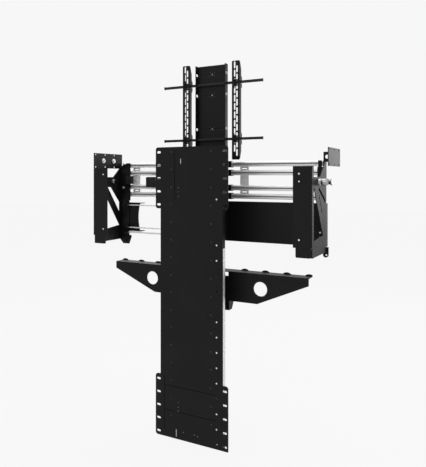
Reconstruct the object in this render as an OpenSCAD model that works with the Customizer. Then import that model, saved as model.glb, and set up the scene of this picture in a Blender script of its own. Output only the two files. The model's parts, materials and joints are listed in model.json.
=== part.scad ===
// Wall-mounted TV lift. A column is screwed to the wall through slotted plates. A mast climbs it
// on rollers, driven by a gear that runs on a rack. The mast carries the TV bracket and a cross
// frame of four aluminium rails with an end frame at each side.
// X runs to the right seen from the wall, Y away from the wall and Z up.
// Heights named below are measured from the column's foot. The origin is in the wall plane, midway
// between the lowest two wall slots.

/* [Column] */
// Width of the column plate
column_w = 264; // [258:1:280]
// Height of the column plate
column_h = 1101; // [1101:1:1160]
// Thickness of the column's sheet
column_t = 3; // [2:0.5:4]
// Depth of the column's folded sides
column_side = 18; // [14:1:24]
// Diameter of the side holes
side_hole_d = 7; // [6:0.5:10]
// Spacing of the side holes
side_hole_pitch = 55.6; // [50:0.1:60]
// Distance of the side holes from the column's edge
side_hole_inset = 24; // [22:1:28]
// Spacing of the column's screws
screw_pitch = 66.5; // [60:0.5:75]
// Diameter of the column's screws
screw_d = 6; // [5:0.5:6.5]

/* [Wall plates] */
// Width of both wall plates
wall_plate_w = 308; // [300:1:330]
// Height of both wall plates
wall_plate_h = 234; // [230:1:250]
// Thickness of the wall plates
wall_plate_t = 4; // [3:0.5:6]
// Corner radius of the wall plates
wall_plate_r = 10; // [6:1:11]
// Length of a wall slot, end to end
slot_l = 18; // [14:1:18]
// Width of a wall slot
slot_w = 9; // [7:0.5:10]
// Spacing of the slots
slot_pitch = 50; // [45:1:52]
// Height of the lowest slot above its plate's lower edge
slot_margin = 15; // [12:1:18]
// Distance of the slots from the plate's side edge
slot_inset = 13.5; // [13:0.5:14]

/* [Roller guides] */
// Diameter of a guide roller
roller_d = 32; // [28:1:36]
// Width of a guide roller
roller_w = 14; // [10:1:15]
// Diameter of a roller stub
stub_d = 10; // [8:0.5:12]
// Distance of the roller centres from the wall
roller_y = 80.5; // [76:0.5:84]
// Height of the lower rollers
roller_low = 775; // [770:1:800]
// Height of the upper rollers
roller_high = 1065; // [1040:1:1070]
// Half the outside width over both guide channels
guide_out = 93; // [92:0.5:96]
// Thickness of the guide channels' sheet
guide_t = 3; // [2:0.5:3.5]
// Height at which the guide channels start
guide_low = 40; // [30:1:60]

/* [Drive] */
// Module of the gear teeth
tooth_module = 2.5; // [2.5:0.01:2.6]
// Teeth on the drive pinion
pinion_teeth = 18; // [17:1:18]
// Face width of the pinion and the rack
gear_w = 18; // [14:1:20]
// Distance of the rack's wall face from the wall
rack_y = 118; // [114:1:120]
// Height of the pinion's axis
pinion_z = 937; // [930:1:942]
// Diameter of the pinion's shaft
shaft_d = 14; // [10:1:16]
// Diameter of the drive motor
motor_d = 34; // [30:1:34]
// Length of the drive motor
motor_l = 194; // [170:1:200]
// Height of the motor's axis
motor_z = 966; // [964:0.5:968]

/* [Mast] */
// Width of the lifting mast
mast_w = 135; // [135:1:140]
// Length of the lifting mast
mast_l = 695; // [690:1:720]
// Height of the mast's lower end
mast_low = 740; // [735:1:743]
// Thickness of the mast's sheet
mast_t = 3; // [2.5:0.5:4]
// Depth of the mast's flanges
mast_flange = 22; // [20:1:24]
// Distance of the mast's room-side face from the wall
mast_y = 180; // [180:0.5:182]

/* [TV bracket] */
// Length of the cross bars
bar_l = 442; // [420:1:480]
// Height and depth of the cross bars
bar_size = 10; // [8:0.5:10]
// Height of the upper cross bar
bar_high = 1358; // [1350:1:1365]
// Height of the lower cross bar
bar_low = 1137; // [1130:1:1145]
// Length of the TV arms
arm_l = 386; // [380:1:400]
// Height of the TV arms' lower ends
arm_low = 1055; // [1052:1:1060]
// Width of a TV arm
arm_w = 33; // [30:1:36]
// Distance between the TV arms' middles
arm_spacing = 222; // [200:1:240]
// Length of a slot in a TV arm
arm_slot_l = 27; // [22:1:28]
// Width of a slot in a TV arm
arm_slot_w = 7; // [5:0.5:7]
// Spacing of the slots in a TV arm
arm_slot_pitch = 32.5; // [31:0.5:33]

/* [Cross frame] */
// Height of an aluminium rail
rail_h = 21; // [20:0.5:22]
// Depth of an aluminium rail
rail_d = 20; // [18:0.5:24]
// Length of an aluminium rail
rail_l = 896; // [890:1:900]
// Width of a tie plate
tie_w = 37; // [30:1:44]
// Distance of the inner tie plates from the middle
tie_inner = 128; // [110:1:150]
// Distance of the outer tie plates from the middle
tie_outer = 390; // [370:1:395]
// Lower edge of the cover panel
cover_low = 734; // [728:1:740]
// Upper edge of the cover panel
cover_high = 891; // [885:1:895]

/* [End frames] */
// Half the outside width over the end frames
frame_out = 461; // [458:1:465]
// Width of a front post
post_w = 67; // [60:1:70]
// Clearance between a front post and the wall
post_gap = 6; // [4:0.5:8]
// Top of the front posts and trusses
frame_top = 1024; // [1020:1:1026]
// Bottom of the trusses
frame_low = 715; // [710:1:720]
// Thickness of the end frames' sheet
frame_t = 3; // [2.5:0.5:4]
// Height of the plungers' axis
plunger_z = 970; // [966:1:974]
// Distance of the left plunger's axis from the wall
plunger_left_y = 125; // [120:0.5:145]
// Distance of the right plunger's axis from the wall
plunger_right_y = 82; // [60:1:145]
// Length of a plunger's knob
knob_l = 38; // [28:1:38]

/* [Support arms] */
// Distance of the support arms' ends from the middle
support_end = 420.5; // [400:0.5:424]
// Top of the support arms
support_top = 630; // [610:1:640]
// Height of a support arm at the column
support_h = 112; // [100:1:125]
// Depth of a support arm's top flange
support_d = 50; // [40:1:50]
// Diameter of the cable hole
cable_hole_d = 58; // [45:1:62]
// Distance of the cable holes from the middle
cable_hole_x = 237.6; // [225:0.1:245]

/* [Hidden] */
$fn = 48;

BLACK = "#202021";
DARK = "#2a2a2c";
SILVER = "#c9ccd0";
STEEL = "#9aa0a6";

// Clearances shared by the fits
hole_gap = 0.2;
running_gap = 0.05;
roller_gap = 0.5;
side_gap = 0.3;
eps = 0.01;

// Column
column_face = wall_plate_t;
groove_w = 2.4;
groove_deep = 2.8;
column_in = column_face + column_t;
screw_top = 19;
screw_x = guide_out - 8;
screw_head_d = screw_d + 3;
screw_head_h = 2;
screw_count = floor((column_h - 2 * screw_top) / screw_pitch) + 1;
side_hole_x = column_w / 2 - side_hole_inset;
side_hole_first = slot_margin + 1.3;
side_hole_count = floor((column_h - wall_plate_h + 45 - side_hole_first) / side_hole_pitch) + 1;
top_plate_z = column_h - wall_plate_h;
slot_rows = 5;
slot_x = wall_plate_w / 2 - slot_inset;

// Guides and rollers
lip_t = guide_t;
channel_gap = roller_d + 2 * roller_gap;
lip_back = roller_y - channel_gap / 2;
lip_front = roller_y + channel_gap / 2;
guide_high = column_h - 6;
roller_out = guide_out - guide_t - 3;
roller_in = roller_out - roller_w;
guide_lip = roller_in - 1;
cheek_t = 4;
cheek_out = mast_w / 2 - mast_t;
cheek_in = cheek_out - cheek_t;
cheek_near = roller_y - 14.5;
cheek_far = mast_y - mast_t - 1;
cheek_margin = 30;

// Drive
pitch_r = tooth_module * pinion_teeth / 2;
tooth_tip = tooth_module;
tooth_root = 1.25 * tooth_module;
pressure = 20;
backlash = 0.5;
rack_pitch = PI * tooth_module;
rack_body = 12.4;
rack_x = -pitch_r - tooth_root - rack_body;
travel = 620;
rack_high = pinion_z + 30;
rack_low = pinion_z - travel - 30;
spine_t = 4;
gearbox_near = rack_y + gear_w + 8;
gearbox_far = mast_y - mast_t;
gearbox_w = 64;
gearbox_low = pinion_z - 37;
gearbox_high = motor_z + 34;
motor_y = mast_y - 11.5;
motor_x = mast_w / 2 + 4.5;
motor_boss_d = 16;
end_box_l = 40;
end_box_h = 42;

// TV bracket
bar_y = mast_y - 15;
arm_t = 2;
arm_y = bar_y - 5;
arm_flange = 16;
arm_lobe = 23;
arm_slot_first = 16.5;
arm_slot_offset = 5;
arm_slot_rows = floor((arm_l - 2 * arm_slot_first - arm_slot_pitch / 2) / arm_slot_pitch) + 1;

// Cross frame
cross_plate_t = 4;
clamp_wall = 2;
rail_y = mast_y + cross_plate_t + clamp_wall;
rail_gap_small = 13;
rail_edge = 2.5;
rail_gap_large = 38.5;
rail_b_z = 1004;
rail_a_z = rail_b_z + rail_h + rail_gap_small;
rail_c_z = rail_b_z - rail_h - rail_gap_large;
rail_d_z = rail_c_z - rail_h - rail_gap_small + 1.5;
RAIL_Z = [rail_a_z, rail_b_z, rail_c_z, rail_d_z];
clamp_x = 80;
clamp_w = 30;
clamp_h = rail_h + 4;
cross_plate_w = 128;
tie_t = 3;
rod_y = mast_y - 4;
rod_end = frame_out - 43;

// End frames
post_near = post_gap;
post_far = post_near + frame_t;
rear_y = rail_y - frame_t;
truss_far = rear_y;
truss_x = frame_out - frame_t;
foot_inset = 9;
foot_outset = 4;
post_foot_z = 748;
hub_high = frame_top - 37;
hub_low = frame_top - 80;
strip_near = 25;
strip_far = 171;
right_peak = 20;
adaptor_high = frame_top + 63;
mast_hole_levels = [1180, 1316, 1399];
mast_hole_d = 12;
adaptor_hole_first = 17;
adaptor_hole_pitch = 61;
adaptor_hole_d = 8;
adaptor_right_x = frame_out + 49;
lug_hole_d = 14;
end_strip_x = 41 - frame_out;
end_strip_w = 13;
rear_in = frame_out - 33;

// Support arms
bracket_out = 111;
bracket_in = guide_lip + 0.5;
bracket_low = support_top - support_h - 36;
support_y = lip_front + lip_t;
support_t = 3;
support_low = support_top - support_h;
support_tip_h = 28;
support_knee = cable_hole_x - 12;

// Plungers
sleeve_d = 16;
pin_d = 10;
knob_d = 24;

// Helpers

module from_foot() {
    translate([0, 0, -slot_margin]) children();
}

// A flat outline in X and Z, given thickness t away from the wall from y
module wall_sheet(y, t) {
    translate([0, y + t, 0]) rotate([90, 0, 0]) linear_extrude(t) children();
}

// A flat outline in Y and Z, given thickness t to the right from x
module side_sheet(x, t) {
    translate([x, 0, 0]) rotate([90, 0, 90]) linear_extrude(t) children();
}

module along_y(x, y, z) {
    translate([x, y, z]) rotate([-90, 0, 0]) children();
}

module along_x(x, y, z) {
    translate([x, y, z]) rotate([0, 90, 0]) children();
}

module mirrored(side) {
    mirror([side < 0 ? 1 : 0, 0, 0]) children();
}

module block(x0, x1, y0, y1, z0, z1) {
    translate([x0, y0, z0]) cube([x1 - x0, y1 - y0, z1 - z0]);
}

module rounded_rect(x0, x1, z0, z1, r) {
    translate([x0 + r, z0]) square([x1 - x0 - 2 * r, z1 - z0]);
    translate([x0, z0 + r]) square([x1 - x0, z1 - z0 - 2 * r]);
    for (x = [x0 + r, x1 - r], z = [z0 + r, z1 - r]) {
        translate([x, z]) circle(r);
    }
}

module slot_flat(l, w) {
    square([l - w, w], center = true);
    for (s = [-1, 1]) {
        translate([s * (l - w) / 2, 0]) circle(w / 2);
    }
}

function side_hole_z(i) = side_hole_first + i * side_hole_pitch;
function screw_z(i) = column_h - screw_top - i * screw_pitch;

module side_holes() {
    for (i = [0:side_hole_count - 1]) {
        translate([side_hole_x, side_hole_z(i)]) circle(side_hole_d / 2);
    }
}

module screw_holes(d) {
    for (i = [0:screw_count - 1], s = [-1, 1]) {
        translate([s * screw_x, screw_z(i)]) circle(d / 2);
    }
}

// Fixed column

module column_plate() {
    color(BLACK) from_foot() {
        difference() {
            wall_sheet(column_face, column_t) translate([-column_w / 2, 0]) square([column_w, column_h]);
            wall_sheet(column_face - 1, column_t + 2) {
                side_holes();
                screw_holes(screw_d + 2 * hole_gap);
            }
        }
        for (s = [-1, 1]) {
            mirrored(s) block(column_w / 2 - column_t, column_w / 2, column_in - eps,
                column_face + column_side, 0, column_h);
        }
    }
}

module wall_plate(z0) {
    difference() {
        wall_sheet(0, wall_plate_t) {
            rounded_rect(-wall_plate_w / 2, wall_plate_w / 2, z0, z0 + wall_plate_h, wall_plate_r);
            if (z0 == 0) {
                translate([wall_plate_w / 2 - wall_plate_r, 0]) square(wall_plate_r);
            }
        }
        wall_sheet(-1, wall_plate_t + 2) {
            for (i = [0:slot_rows - 1], s = [-1, 1]) {
                translate([s * slot_x, z0 + slot_margin + i * slot_pitch]) slot_flat(slot_l, slot_w);
            }
            side_holes();
            screw_holes(screw_d + 2 * hole_gap);
        }
        wall_sheet(-1, 1 + screw_head_h + hole_gap) screw_holes(screw_head_d + 2 * hole_gap);
        children();
    }
}

// Groove pressed into a wall plate's face
module face_groove(x0, x1, z0, z1) {
    block(x0, x1, -1, groove_deep, z0, z1);
}

module top_wall_plate() {
    color(BLACK) from_foot() wall_plate(top_plate_z) {
        face_groove(-70, -70 + groove_w, top_plate_z + 38, column_h - 15);
        wall_sheet(-1, wall_plate_t + 2) {
            translate([-43.4, column_h - 54]) rotate(90) slot_flat(20, 4);
            for (z = [47, 65, 81]) {
                translate([-52.9, top_plate_z + z]) circle(2);
            }
        }
    }
}

module bottom_wall_plate() {
    color(BLACK) from_foot() wall_plate(0) {
        face_groove(-115, -115 + groove_w, 30, wall_plate_h + 1);
        for (z = [101, 194.5]) {
            face_groove(-115, 105, z, z + groove_w);
        }
        wall_sheet(-1, wall_plate_t + 2) {
            translate([-62.3, 22]) rotate(90) slot_flat(30, 4);
            for (p = [[-30.8, 31], [14.8, 31.8], [29.7, 29.3], [-52.9, 105], [-52.9, 120],
                [-52.9, 139]]) {
                translate(p) circle(2);
            }
        }
    }
}

// Fills the space between the two wall plates, flush with them
module centre_plate() {
    color(BLACK) from_foot() difference() {
        wall_sheet(0, wall_plate_t) translate([-column_w / 2, wall_plate_h])
            square([column_w, top_plate_z - wall_plate_h]);
        wall_sheet(-1, wall_plate_t + 2) {
            side_holes();
            screw_holes(screw_d + 2 * hole_gap);
        }
        wall_sheet(-1, 1 + screw_head_h + hole_gap) screw_holes(screw_head_d + 2 * hole_gap);
    }
}

module guide_channel(side) {
    foot_in = guide_lip - 2;
    color(DARK) from_foot() mirrored(side) difference() {
        translate([0, 0, guide_low]) linear_extrude(guide_high - guide_low) polygon([
            [foot_in, column_in], [guide_out, column_in], [guide_out, lip_front + lip_t],
            [guide_lip, lip_front + lip_t], [guide_lip, lip_front],
            [guide_out - guide_t, lip_front], [guide_out - guide_t, lip_back],
            [guide_lip, lip_back], [guide_lip, lip_back - lip_t],
            [guide_out - guide_t, lip_back - lip_t], [guide_out - guide_t, column_in + guide_t],
            [foot_in, column_in + guide_t]]);
        wall_sheet(column_in - 1, guide_t + 2) {
            for (i = [0:screw_count - 1]) {
                translate([screw_x, screw_z(i)]) circle(screw_d / 2 + hole_gap);
            }
        }
    }
}

module rack_spine() {
    spine_x = rack_x - spine_t;
    color(DARK) from_foot() {
        block(spine_x, rack_x, column_in, rack_y + gear_w, rack_low, rack_high);
        block(spine_x - 16, spine_x + eps, column_in, column_in + spine_t, rack_low, rack_high);
    }
}

// One tooth of the rack points at +X, and its middle is at height z
module rack_tooth(z) {
    half = rack_pitch / 4 - backlash / 4;
    slope = tan(pressure);
    polygon([
        [rack_x + rack_body - eps, z - half - tooth_root * slope],
        [-pitch_r + tooth_tip, z - half + tooth_tip * slope],
        [-pitch_r + tooth_tip, z + half - tooth_tip * slope],
        [rack_x + rack_body - eps, z + half + tooth_root * slope]]);
}

module gear_rack() {
    above = floor((rack_high - pinion_z) / rack_pitch - 0.5);
    below = floor((pinion_z - rack_low) / rack_pitch - 0.5);
    color(STEEL) from_foot() wall_sheet(rack_y, gear_w) {
        translate([rack_x, rack_low]) square([rack_body, rack_high - rack_low]);
        for (i = [-below:above]) {
            rack_tooth(pinion_z + i * rack_pitch);
        }
    }
}

module column_screws() {
    color(STEEL) from_foot() for (i = [0:screw_count - 1], s = [-1, 1]) {
        along_y(s * screw_x, hole_gap, screw_z(i)) {
            cylinder(d = screw_head_d, h = screw_head_h);
            cylinder(d = screw_d, h = column_in + guide_t + 2 - hole_gap);
        }
    }
}

module stop_buffers() {
    color(BLACK) from_foot() for (s = [-1, 1]) {
        along_y(s * (guide_lip - 20), column_in, guide_low + 30) cylinder(d = 24, h = 10);
        along_y(s * (guide_lip - 20), column_in + 10, guide_low + 30) cylinder(d1 = 24, d2 = 18, h = 8);
    }
}

// Angle welded to the front lip of a guide channel. Its side plate takes the support arm
module arm_bracket(side) {
    far = support_y + support_d;
    color(BLACK) from_foot() mirrored(side) difference() {
        union() {
            block(bracket_in, bracket_out, support_y, support_y + support_t, bracket_low,
                support_top - 18);
            block(bracket_in, bracket_out, support_y, far, support_top - support_t, support_top);
            side_sheet(bracket_out - support_t, support_t) polygon([
                [support_y, bracket_low], [support_y, support_top], [far, support_top],
                [far, support_low + 4], [far - 24, bracket_low]]);
        }
        for (z = [support_low + 25, support_top - 25]) {
            along_x(bracket_out - support_t - 1, support_y + 20, z) cylinder(d = 8.4, h = support_t + 2);
        }
    }
}

module support_arm(side) {
    tab_pitch = 84.5;
    tab_first = bracket_out + 44;
    color(BLACK) from_foot() mirrored(side) difference() {
        union() {
            wall_sheet(support_y, support_t) difference() {
                polygon([[bracket_out, support_low], [support_knee, support_low],
                    [support_end, support_top - support_tip_h], [support_end, support_top],
                    [bracket_out, support_top]]);
                translate([cable_hole_x, (support_top + support_low) / 2]) circle(cable_hole_d / 2);
            }
            block(bracket_out, support_end, support_y, support_y + support_d,
                support_top - support_t, support_top);
            block(bracket_out, bracket_out + support_t, support_y, support_y + support_d,
                support_low + 8, support_top);
            for (i = [0:3]) {
                wall_sheet(support_y + support_d - support_t, support_t)
                    translate([tab_first + i * tab_pitch, support_top - eps])
                    intersection() {
                        translate([0, -19]) circle(25);
                        translate([-25, 0]) square([min(50, support_end - tab_first - i * tab_pitch + 25),
                            7]);
                    }
            }
        }
        for (z = [support_low + 25, support_top - 25]) {
            along_x(bracket_out - 1, support_y + 20, z) cylinder(d = 8.4, h = support_t + 2);
        }
    }
}

module support_bolts() {
    color(STEEL) from_foot() for (s = [-1, 1], z = [support_low + 25, support_top - 25]) {
        mirrored(s) {
            along_x(bracket_out + support_t, support_y + 20, z) cylinder(d = 15, h = 6, $fn = 6);
            along_x(bracket_out - support_t - 8, support_y + 20, z) cylinder(d = 8, h = 2 * support_t + 9);
            along_x(bracket_out - support_t - 7, support_y + 20, z) cylinder(d = 15, h = 7, $fn = 6);
        }
    }
}

// Lifting mast and its carriage

module mast_channel() {
    hole_y = mast_y - mast_flange / 2;
    half = mast_w / 2;
    color(BLACK) from_foot() difference() {
        translate([0, 0, mast_low]) linear_extrude(mast_l) polygon([
            [-half, mast_y - mast_flange], [-half, mast_y], [half, mast_y],
            [half, mast_y - mast_flange], [half - mast_t, mast_y - mast_flange],
            [half - mast_t, mast_y - mast_t], [mast_t - half, mast_y - mast_t],
            [mast_t - half, mast_y - mast_flange]]);
        for (z = mast_hole_levels, y = [hole_y - 3, hole_y + 3]) {
            along_x(-half - 1, y, z) cylinder(d = mast_hole_d, h = mast_w + 2);
        }
        for (z = [bar_low, bar_high]) {
            block(-half - 1, half + 1, bar_y - hole_gap, bar_y + bar_size + hole_gap,
                z - bar_size / 2 - hole_gap, z + bar_size / 2 + hole_gap);
        }
        along_x(-half - 1, motor_y, motor_z) cylinder(d = motor_boss_d + 1, h = mast_t + 2);
    }
}

module cheek(side) {
    low = roller_low - cheek_margin;
    high = roller_high + cheek_margin;
    color(DARK) from_foot() mirrored(side) side_sheet(cheek_in, cheek_t) difference() {
        polygon([[cheek_near, low], [cheek_far, low], [cheek_far, high], [cheek_near, high]]);
        for (z = [roller_low, roller_high]) {
            translate([roller_y, z]) circle(stub_d / 2 + hole_gap);
        }
        for (z = [low + 95, high - 125]) {
            translate([(cheek_near + cheek_far) / 2 - 10, z]) circle(28);
        }
        translate([motor_y, motor_z]) circle(motor_boss_d / 2 + hole_gap);
    }
}

module roller_stubs() {
    color(STEEL) from_foot() for (s = [-1, 1], z = [roller_low, roller_high]) {
        mirrored(s) {
            along_x(cheek_in - 6, roller_y, z) cylinder(d = stub_d, h = roller_out + 1.5 - cheek_in + 6);
            along_x(cheek_in - 7, roller_y, z) cylinder(d = 18, h = 7, $fn = 6);
            along_x(cheek_out, roller_y, z) cylinder(d = 16, h = roller_in - side_gap - cheek_out);
            along_x(roller_out + side_gap, roller_y, z) cylinder(d = 15, h = 1.4);
        }
    }
}

module roller(side, z) {
    color("#e6e4dc") from_foot() mirrored(side) along_x(roller_in, roller_y, z) rotate_extrude() polygon([
        [stub_d / 2 + running_gap, 0], [roller_d / 2 - 1, 0], [roller_d / 2, 1],
        [roller_d / 2, roller_w - 1], [roller_d / 2 - 1, roller_w],
        [stub_d / 2 + running_gap, roller_w]]);
}

module gearbox_housing() {
    half = gearbox_w / 2;
    color(DARK) from_foot() difference() {
        union() {
            wall_sheet(gearbox_near + 5, gearbox_far - gearbox_near - 5)
                rounded_rect(-half, half, gearbox_low, gearbox_high, 8);
            along_y(0, gearbox_near, pinion_z) cylinder(d = 40, h = 6);
            wall_sheet(gearbox_near + 2, 4) rounded_rect(-half + 4, half - 4, gearbox_low + 4,
                gearbox_high - 4, 6);
        }
        along_y(0, gearbox_near - 1, pinion_z) cylinder(d = shaft_d + 2 * running_gap, h = 23);
        along_y(0, gearbox_near - 1, pinion_z) cylinder(d = 26, h = 3);
    }
}

module drive_motor() {
    color(BLACK) from_foot() {
        along_x(-motor_x - motor_l, motor_y, motor_z) rotate_extrude() polygon([
            [0, 0], [motor_d / 2 - 1, 0], [motor_d / 2, 1], [motor_d / 2, motor_l - 46],
            [motor_d / 2 - 1.5, motor_l - 44], [motor_d / 2 - 1.5, motor_l - 40],
            [motor_d / 2, motor_l - 38], [motor_d / 2, motor_l], [motor_boss_d / 2, motor_l],
            [motor_boss_d / 2, motor_l + motor_x - gearbox_w / 2], [0, motor_l + motor_x - gearbox_w / 2]]);
        block(-motor_x - eps, -mast_w / 2, motor_y - 15, motor_y + 11, motor_z - 18, motor_z + 18);
    }
}

module motor_end_housing() {
    far = -motor_x - motor_l;
    color(BLACK) from_foot() side_sheet(far - end_box_l, end_box_l)
        rounded_rect(motor_y - 16.5, motor_y + 15.5, motor_z - end_box_h / 2,
            motor_z + end_box_h / 2, 3);
}

function involute(base_r, t) = [base_r * (cos(t) + t * PI / 180 * sin(t)),
    base_r * (sin(t) - t * PI / 180 * cos(t))];

function turned(p, a) = [p[0] * cos(a) - p[1] * sin(a), p[0] * sin(a) + p[1] * cos(a)];

// The pinion's outline, with a gap between two teeth facing -X
module pinion_flat() {
    base_r = pitch_r * cos(pressure);
    tip_r = pitch_r + tooth_tip;
    root_r = pitch_r - tooth_root;
    steps = 5;
    tip_t = sqrt(pow(tip_r / base_r, 2) - 1) * 180 / PI;
    pitch_t = sqrt(pow(pitch_r / base_r, 2) - 1) * 180 / PI;
    flank_a = pitch_t - pressure;
    half_a = 90 / pinion_teeth - backlash / 4 / pitch_r * 180 / PI;
    side = [for (i = [0:steps]) turned(involute(base_r, tip_t * i / steps), -flank_a - half_a)];
    circle(root_r + eps);
    for (k = [0:pinion_teeth - 1]) {
        rotate((k + 0.5 * (pinion_teeth % 2 == 0 ? 1 : 0)) * 360 / pinion_teeth) polygon(concat(
            [turned([root_r - 1, 0], -flank_a - half_a)], side,
            [for (i = [steps:-1:0]) [side[i][0], -side[i][1]]],
            [turned([root_r - 1, 0], flank_a + half_a)]));
    }
}

module drive_pinion() {
    color(STEEL) from_foot() {
        along_y(0, rack_y + 1, pinion_z) linear_extrude(gear_w - 2) pinion_flat();
        along_y(0, rack_y - 3, pinion_z) cylinder(d = shaft_d, h = gearbox_near + 20 - rack_y + 3);
        along_y(0, rack_y - 2, pinion_z) cylinder(d = shaft_d + 8, h = 3.1);
        along_y(0, rack_y + gear_w - 1.1, pinion_z) cylinder(d = shaft_d + 8, h = 5);
    }
}

// Cross frame on the room side of the mast

module cross_plate() {
    color(BLACK) from_foot() difference() {
        wall_sheet(mast_y, cross_plate_t) rounded_rect(-cross_plate_w / 2, cross_plate_w / 2,
            rail_d_z - clamp_h / 2, rail_a_z + clamp_h / 2, 6);
        for (x = [-20, 20], z = [rail_d_z + 16, (rail_b_z + rail_c_z) / 2, rail_a_z - 16]) {
            along_y(x, mast_y - 1, z) cylinder(d = 9, h = cross_plate_t + 2);
        }
    }
}

module rail_section(grow) {
    near = rail_y - grow;
    far = rail_y + rail_d + grow;
    half = rail_h / 2 + grow;
    polygon([[near, -half], [far, -half], [far, half], [near, half]]);
}

module rail_clamps() {
    color(BLACK) from_foot() for (s = [-1, 1], z = RAIL_Z) {
        mirrored(s) translate([0, 0, z]) side_sheet(clamp_x - clamp_w, clamp_w) difference() {
            rail_section(clamp_wall);
            rail_section(0);
        }
    }
}

module rail(z) {
    groove = 4;
    deep = 5;
    far = rail_y + rail_d;
    half = rail_h / 2;
    color(SILVER) from_foot() translate([0, 0, z]) side_sheet(-rail_l / 2, rail_l) difference() {
        polygon([[rail_y + rail_edge, -half], [far - rail_edge, -half], [far, rail_edge - half],
            [far, -groove / 2], [far - deep, -groove / 2], [far - deep, groove / 2], [far, groove / 2],
            [far, half - rail_edge], [far - rail_edge, half], [rail_y + rail_edge, half],
            [rail_y, half - rail_edge], [rail_y, groove / 2], [rail_y + deep, groove / 2],
            [rail_y + deep, -groove / 2], [rail_y, -groove / 2], [rail_y, rail_edge - half]]);
        translate([rail_y + rail_d / 2, half / 2 + 1.5]) circle(1.8);
        translate([rail_y + rail_d / 2, -half / 2 - 1.5]) circle(1.8);
    }
}

module tie_plates() {
    color(SILVER) from_foot() for (s = [-1, 1], x = [tie_inner, tie_outer]) {
        mirrored(s) wall_sheet(rail_y + rail_d, tie_t) difference() {
            rounded_rect(x - tie_w / 2, x + tie_w / 2, rail_d_z - rail_h / 2, rail_a_z + rail_h / 2, 3);
            for (z = [(rail_a_z + rail_b_z) / 2, (rail_c_z + rail_d_z) / 2]) {
                translate([x, z]) slot_flat(tie_w - 10, 7);
            }
            translate([x, (rail_b_z + rail_c_z) / 2 - 3]) circle(8);
        }
    }
}

module crossbar(z) {
    cap = 4;
    color(BLACK) from_foot() {
        block(-bar_l / 2 + cap, bar_l / 2 - cap, bar_y, bar_y + bar_size, z - bar_size / 2, z + bar_size / 2);
        for (s = [-1, 1]) {
            mirrored(s) block(bar_l / 2 - cap - eps, bar_l / 2, bar_y - 1, bar_y + bar_size + 1,
                z - bar_size / 2 - 1, z + bar_size / 2 + 1);
        }
    }
}

// A TV arm is a slotted channel. Its flanges have jaws that take the two bars
module tv_arm(x) {
    high = arm_low + arm_l;
    taper = 34;
    jaw = 26;
    color(BLACK) from_foot() difference() {
        union() {
            wall_sheet(arm_y, arm_t) difference() {
                rounded_rect(x - arm_w / 2, x + arm_w / 2, arm_low, high, 4);
                for (i = [0:arm_slot_rows - 1]) {
                    translate([x - arm_slot_offset, high - arm_slot_first - i * arm_slot_pitch])
                        rotate(90) slot_flat(arm_slot_l, arm_slot_w);
                    translate([x + arm_slot_offset,
                        high - arm_slot_first - (i + 0.5) * arm_slot_pitch])
                        rotate(90) slot_flat(arm_slot_l, arm_slot_w);
                }
            }
            for (fx = [x - arm_w / 2, x + arm_w / 2 - arm_t]) {
                side_sheet(fx, arm_t) union() {
                    polygon([[arm_y, arm_low + 4], [arm_y, high - 4], [arm_y + 5, high - 4],
                        [arm_y + arm_flange, high - taper], [arm_y + arm_flange, arm_low + taper],
                        [arm_y + 5, arm_low + 4]]);
                    for (z = [bar_low, bar_high]) {
                        polygon([[arm_y + 1, z - jaw], [arm_y + arm_flange, z - jaw],
                            [arm_y + arm_lobe, z - jaw + 8], [arm_y + arm_lobe, z + jaw - 8],
                            [arm_y + arm_flange, z + jaw], [arm_y + 1, z + jaw]]);
                    }
                }
            }
        }
        for (z = [bar_low, bar_high]) {
            block(x - arm_w, x + arm_w, bar_y - hole_gap, arm_y + arm_lobe + 1,
                z - bar_size / 2 - hole_gap, z + bar_size / 2 + hole_gap);
        }
    }
}

module bar_keepers() {
    color(STEEL) from_foot() for (s = [-1, 1], z = [bar_low, bar_high]) {
        x = s * arm_spacing / 2;
        near = bar_y + bar_size;
        block(x - arm_w / 2 + arm_t, x + arm_w / 2 - arm_t, near, near + 3, z - 14, z + 14);
        along_y(x, near + 3, z + 8) cylinder(d = 9, h = 4, $fn = 6);
    }
}

module cover_panel() {
    deep = 18;
    t = 2;
    left = -mast_w / 2 + 2;
    far = rail_y + deep;
    color(BLACK) from_foot() {
        block(left, frame_out, rail_y, rail_y + t, cover_low, cover_high);
        block(left, frame_out, rail_y, far, cover_low, cover_low + t);
        block(left, frame_out, rail_y, far, cover_high - t, cover_high);
        block(frame_out - t, frame_out, rail_y, far, cover_low, cover_high);
    }
}

module cover_mount() {
    half = mast_w / 2 - 8;
    color(DARK) from_foot() difference() {
        block(-half, half, mast_y, rail_y, cover_low + 16, cover_high - 12);
        for (x = [-40, 40], z = [cover_low + 36, cover_high - 32]) {
            along_y(x, mast_y - 1, z) cylinder(d = 6, h = rail_y - mast_y + 2);
        }
    }
}

// Bracket with a hollow curved edge, and three slim rods in front of it
module curved_bracket() {
    t = 3;
    low = 751;
    high = 875;
    right = -354;
    left = -frame_out + 16;
    bite = 210;
    color(BLACK) from_foot() {
        wall_sheet(rail_y, t) difference() {
            translate([left, low]) square([right - left - 4, high - low]);
            translate([right + bite - 14, (low + high) / 2]) circle(bite, $fn = 96);
        }
        for (z = [low, high - t]) {
            block(left, right, rail_y, rail_y + 30, z, z + t);
        }
    }
}

module guide_rods() {
    color(SILVER) from_foot() for (p = [[865, 5], [768, 5], [747, 8]]) {
        along_x(-rod_end, rod_y, p[0]) cylinder(d = p[1], h = rod_end - mast_w / 2);
        block(-rod_end - 6, -rod_end + 6, rod_y - 5, rear_y, p[0] - 6, p[0] + 6);
    }
}

// End frames

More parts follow.
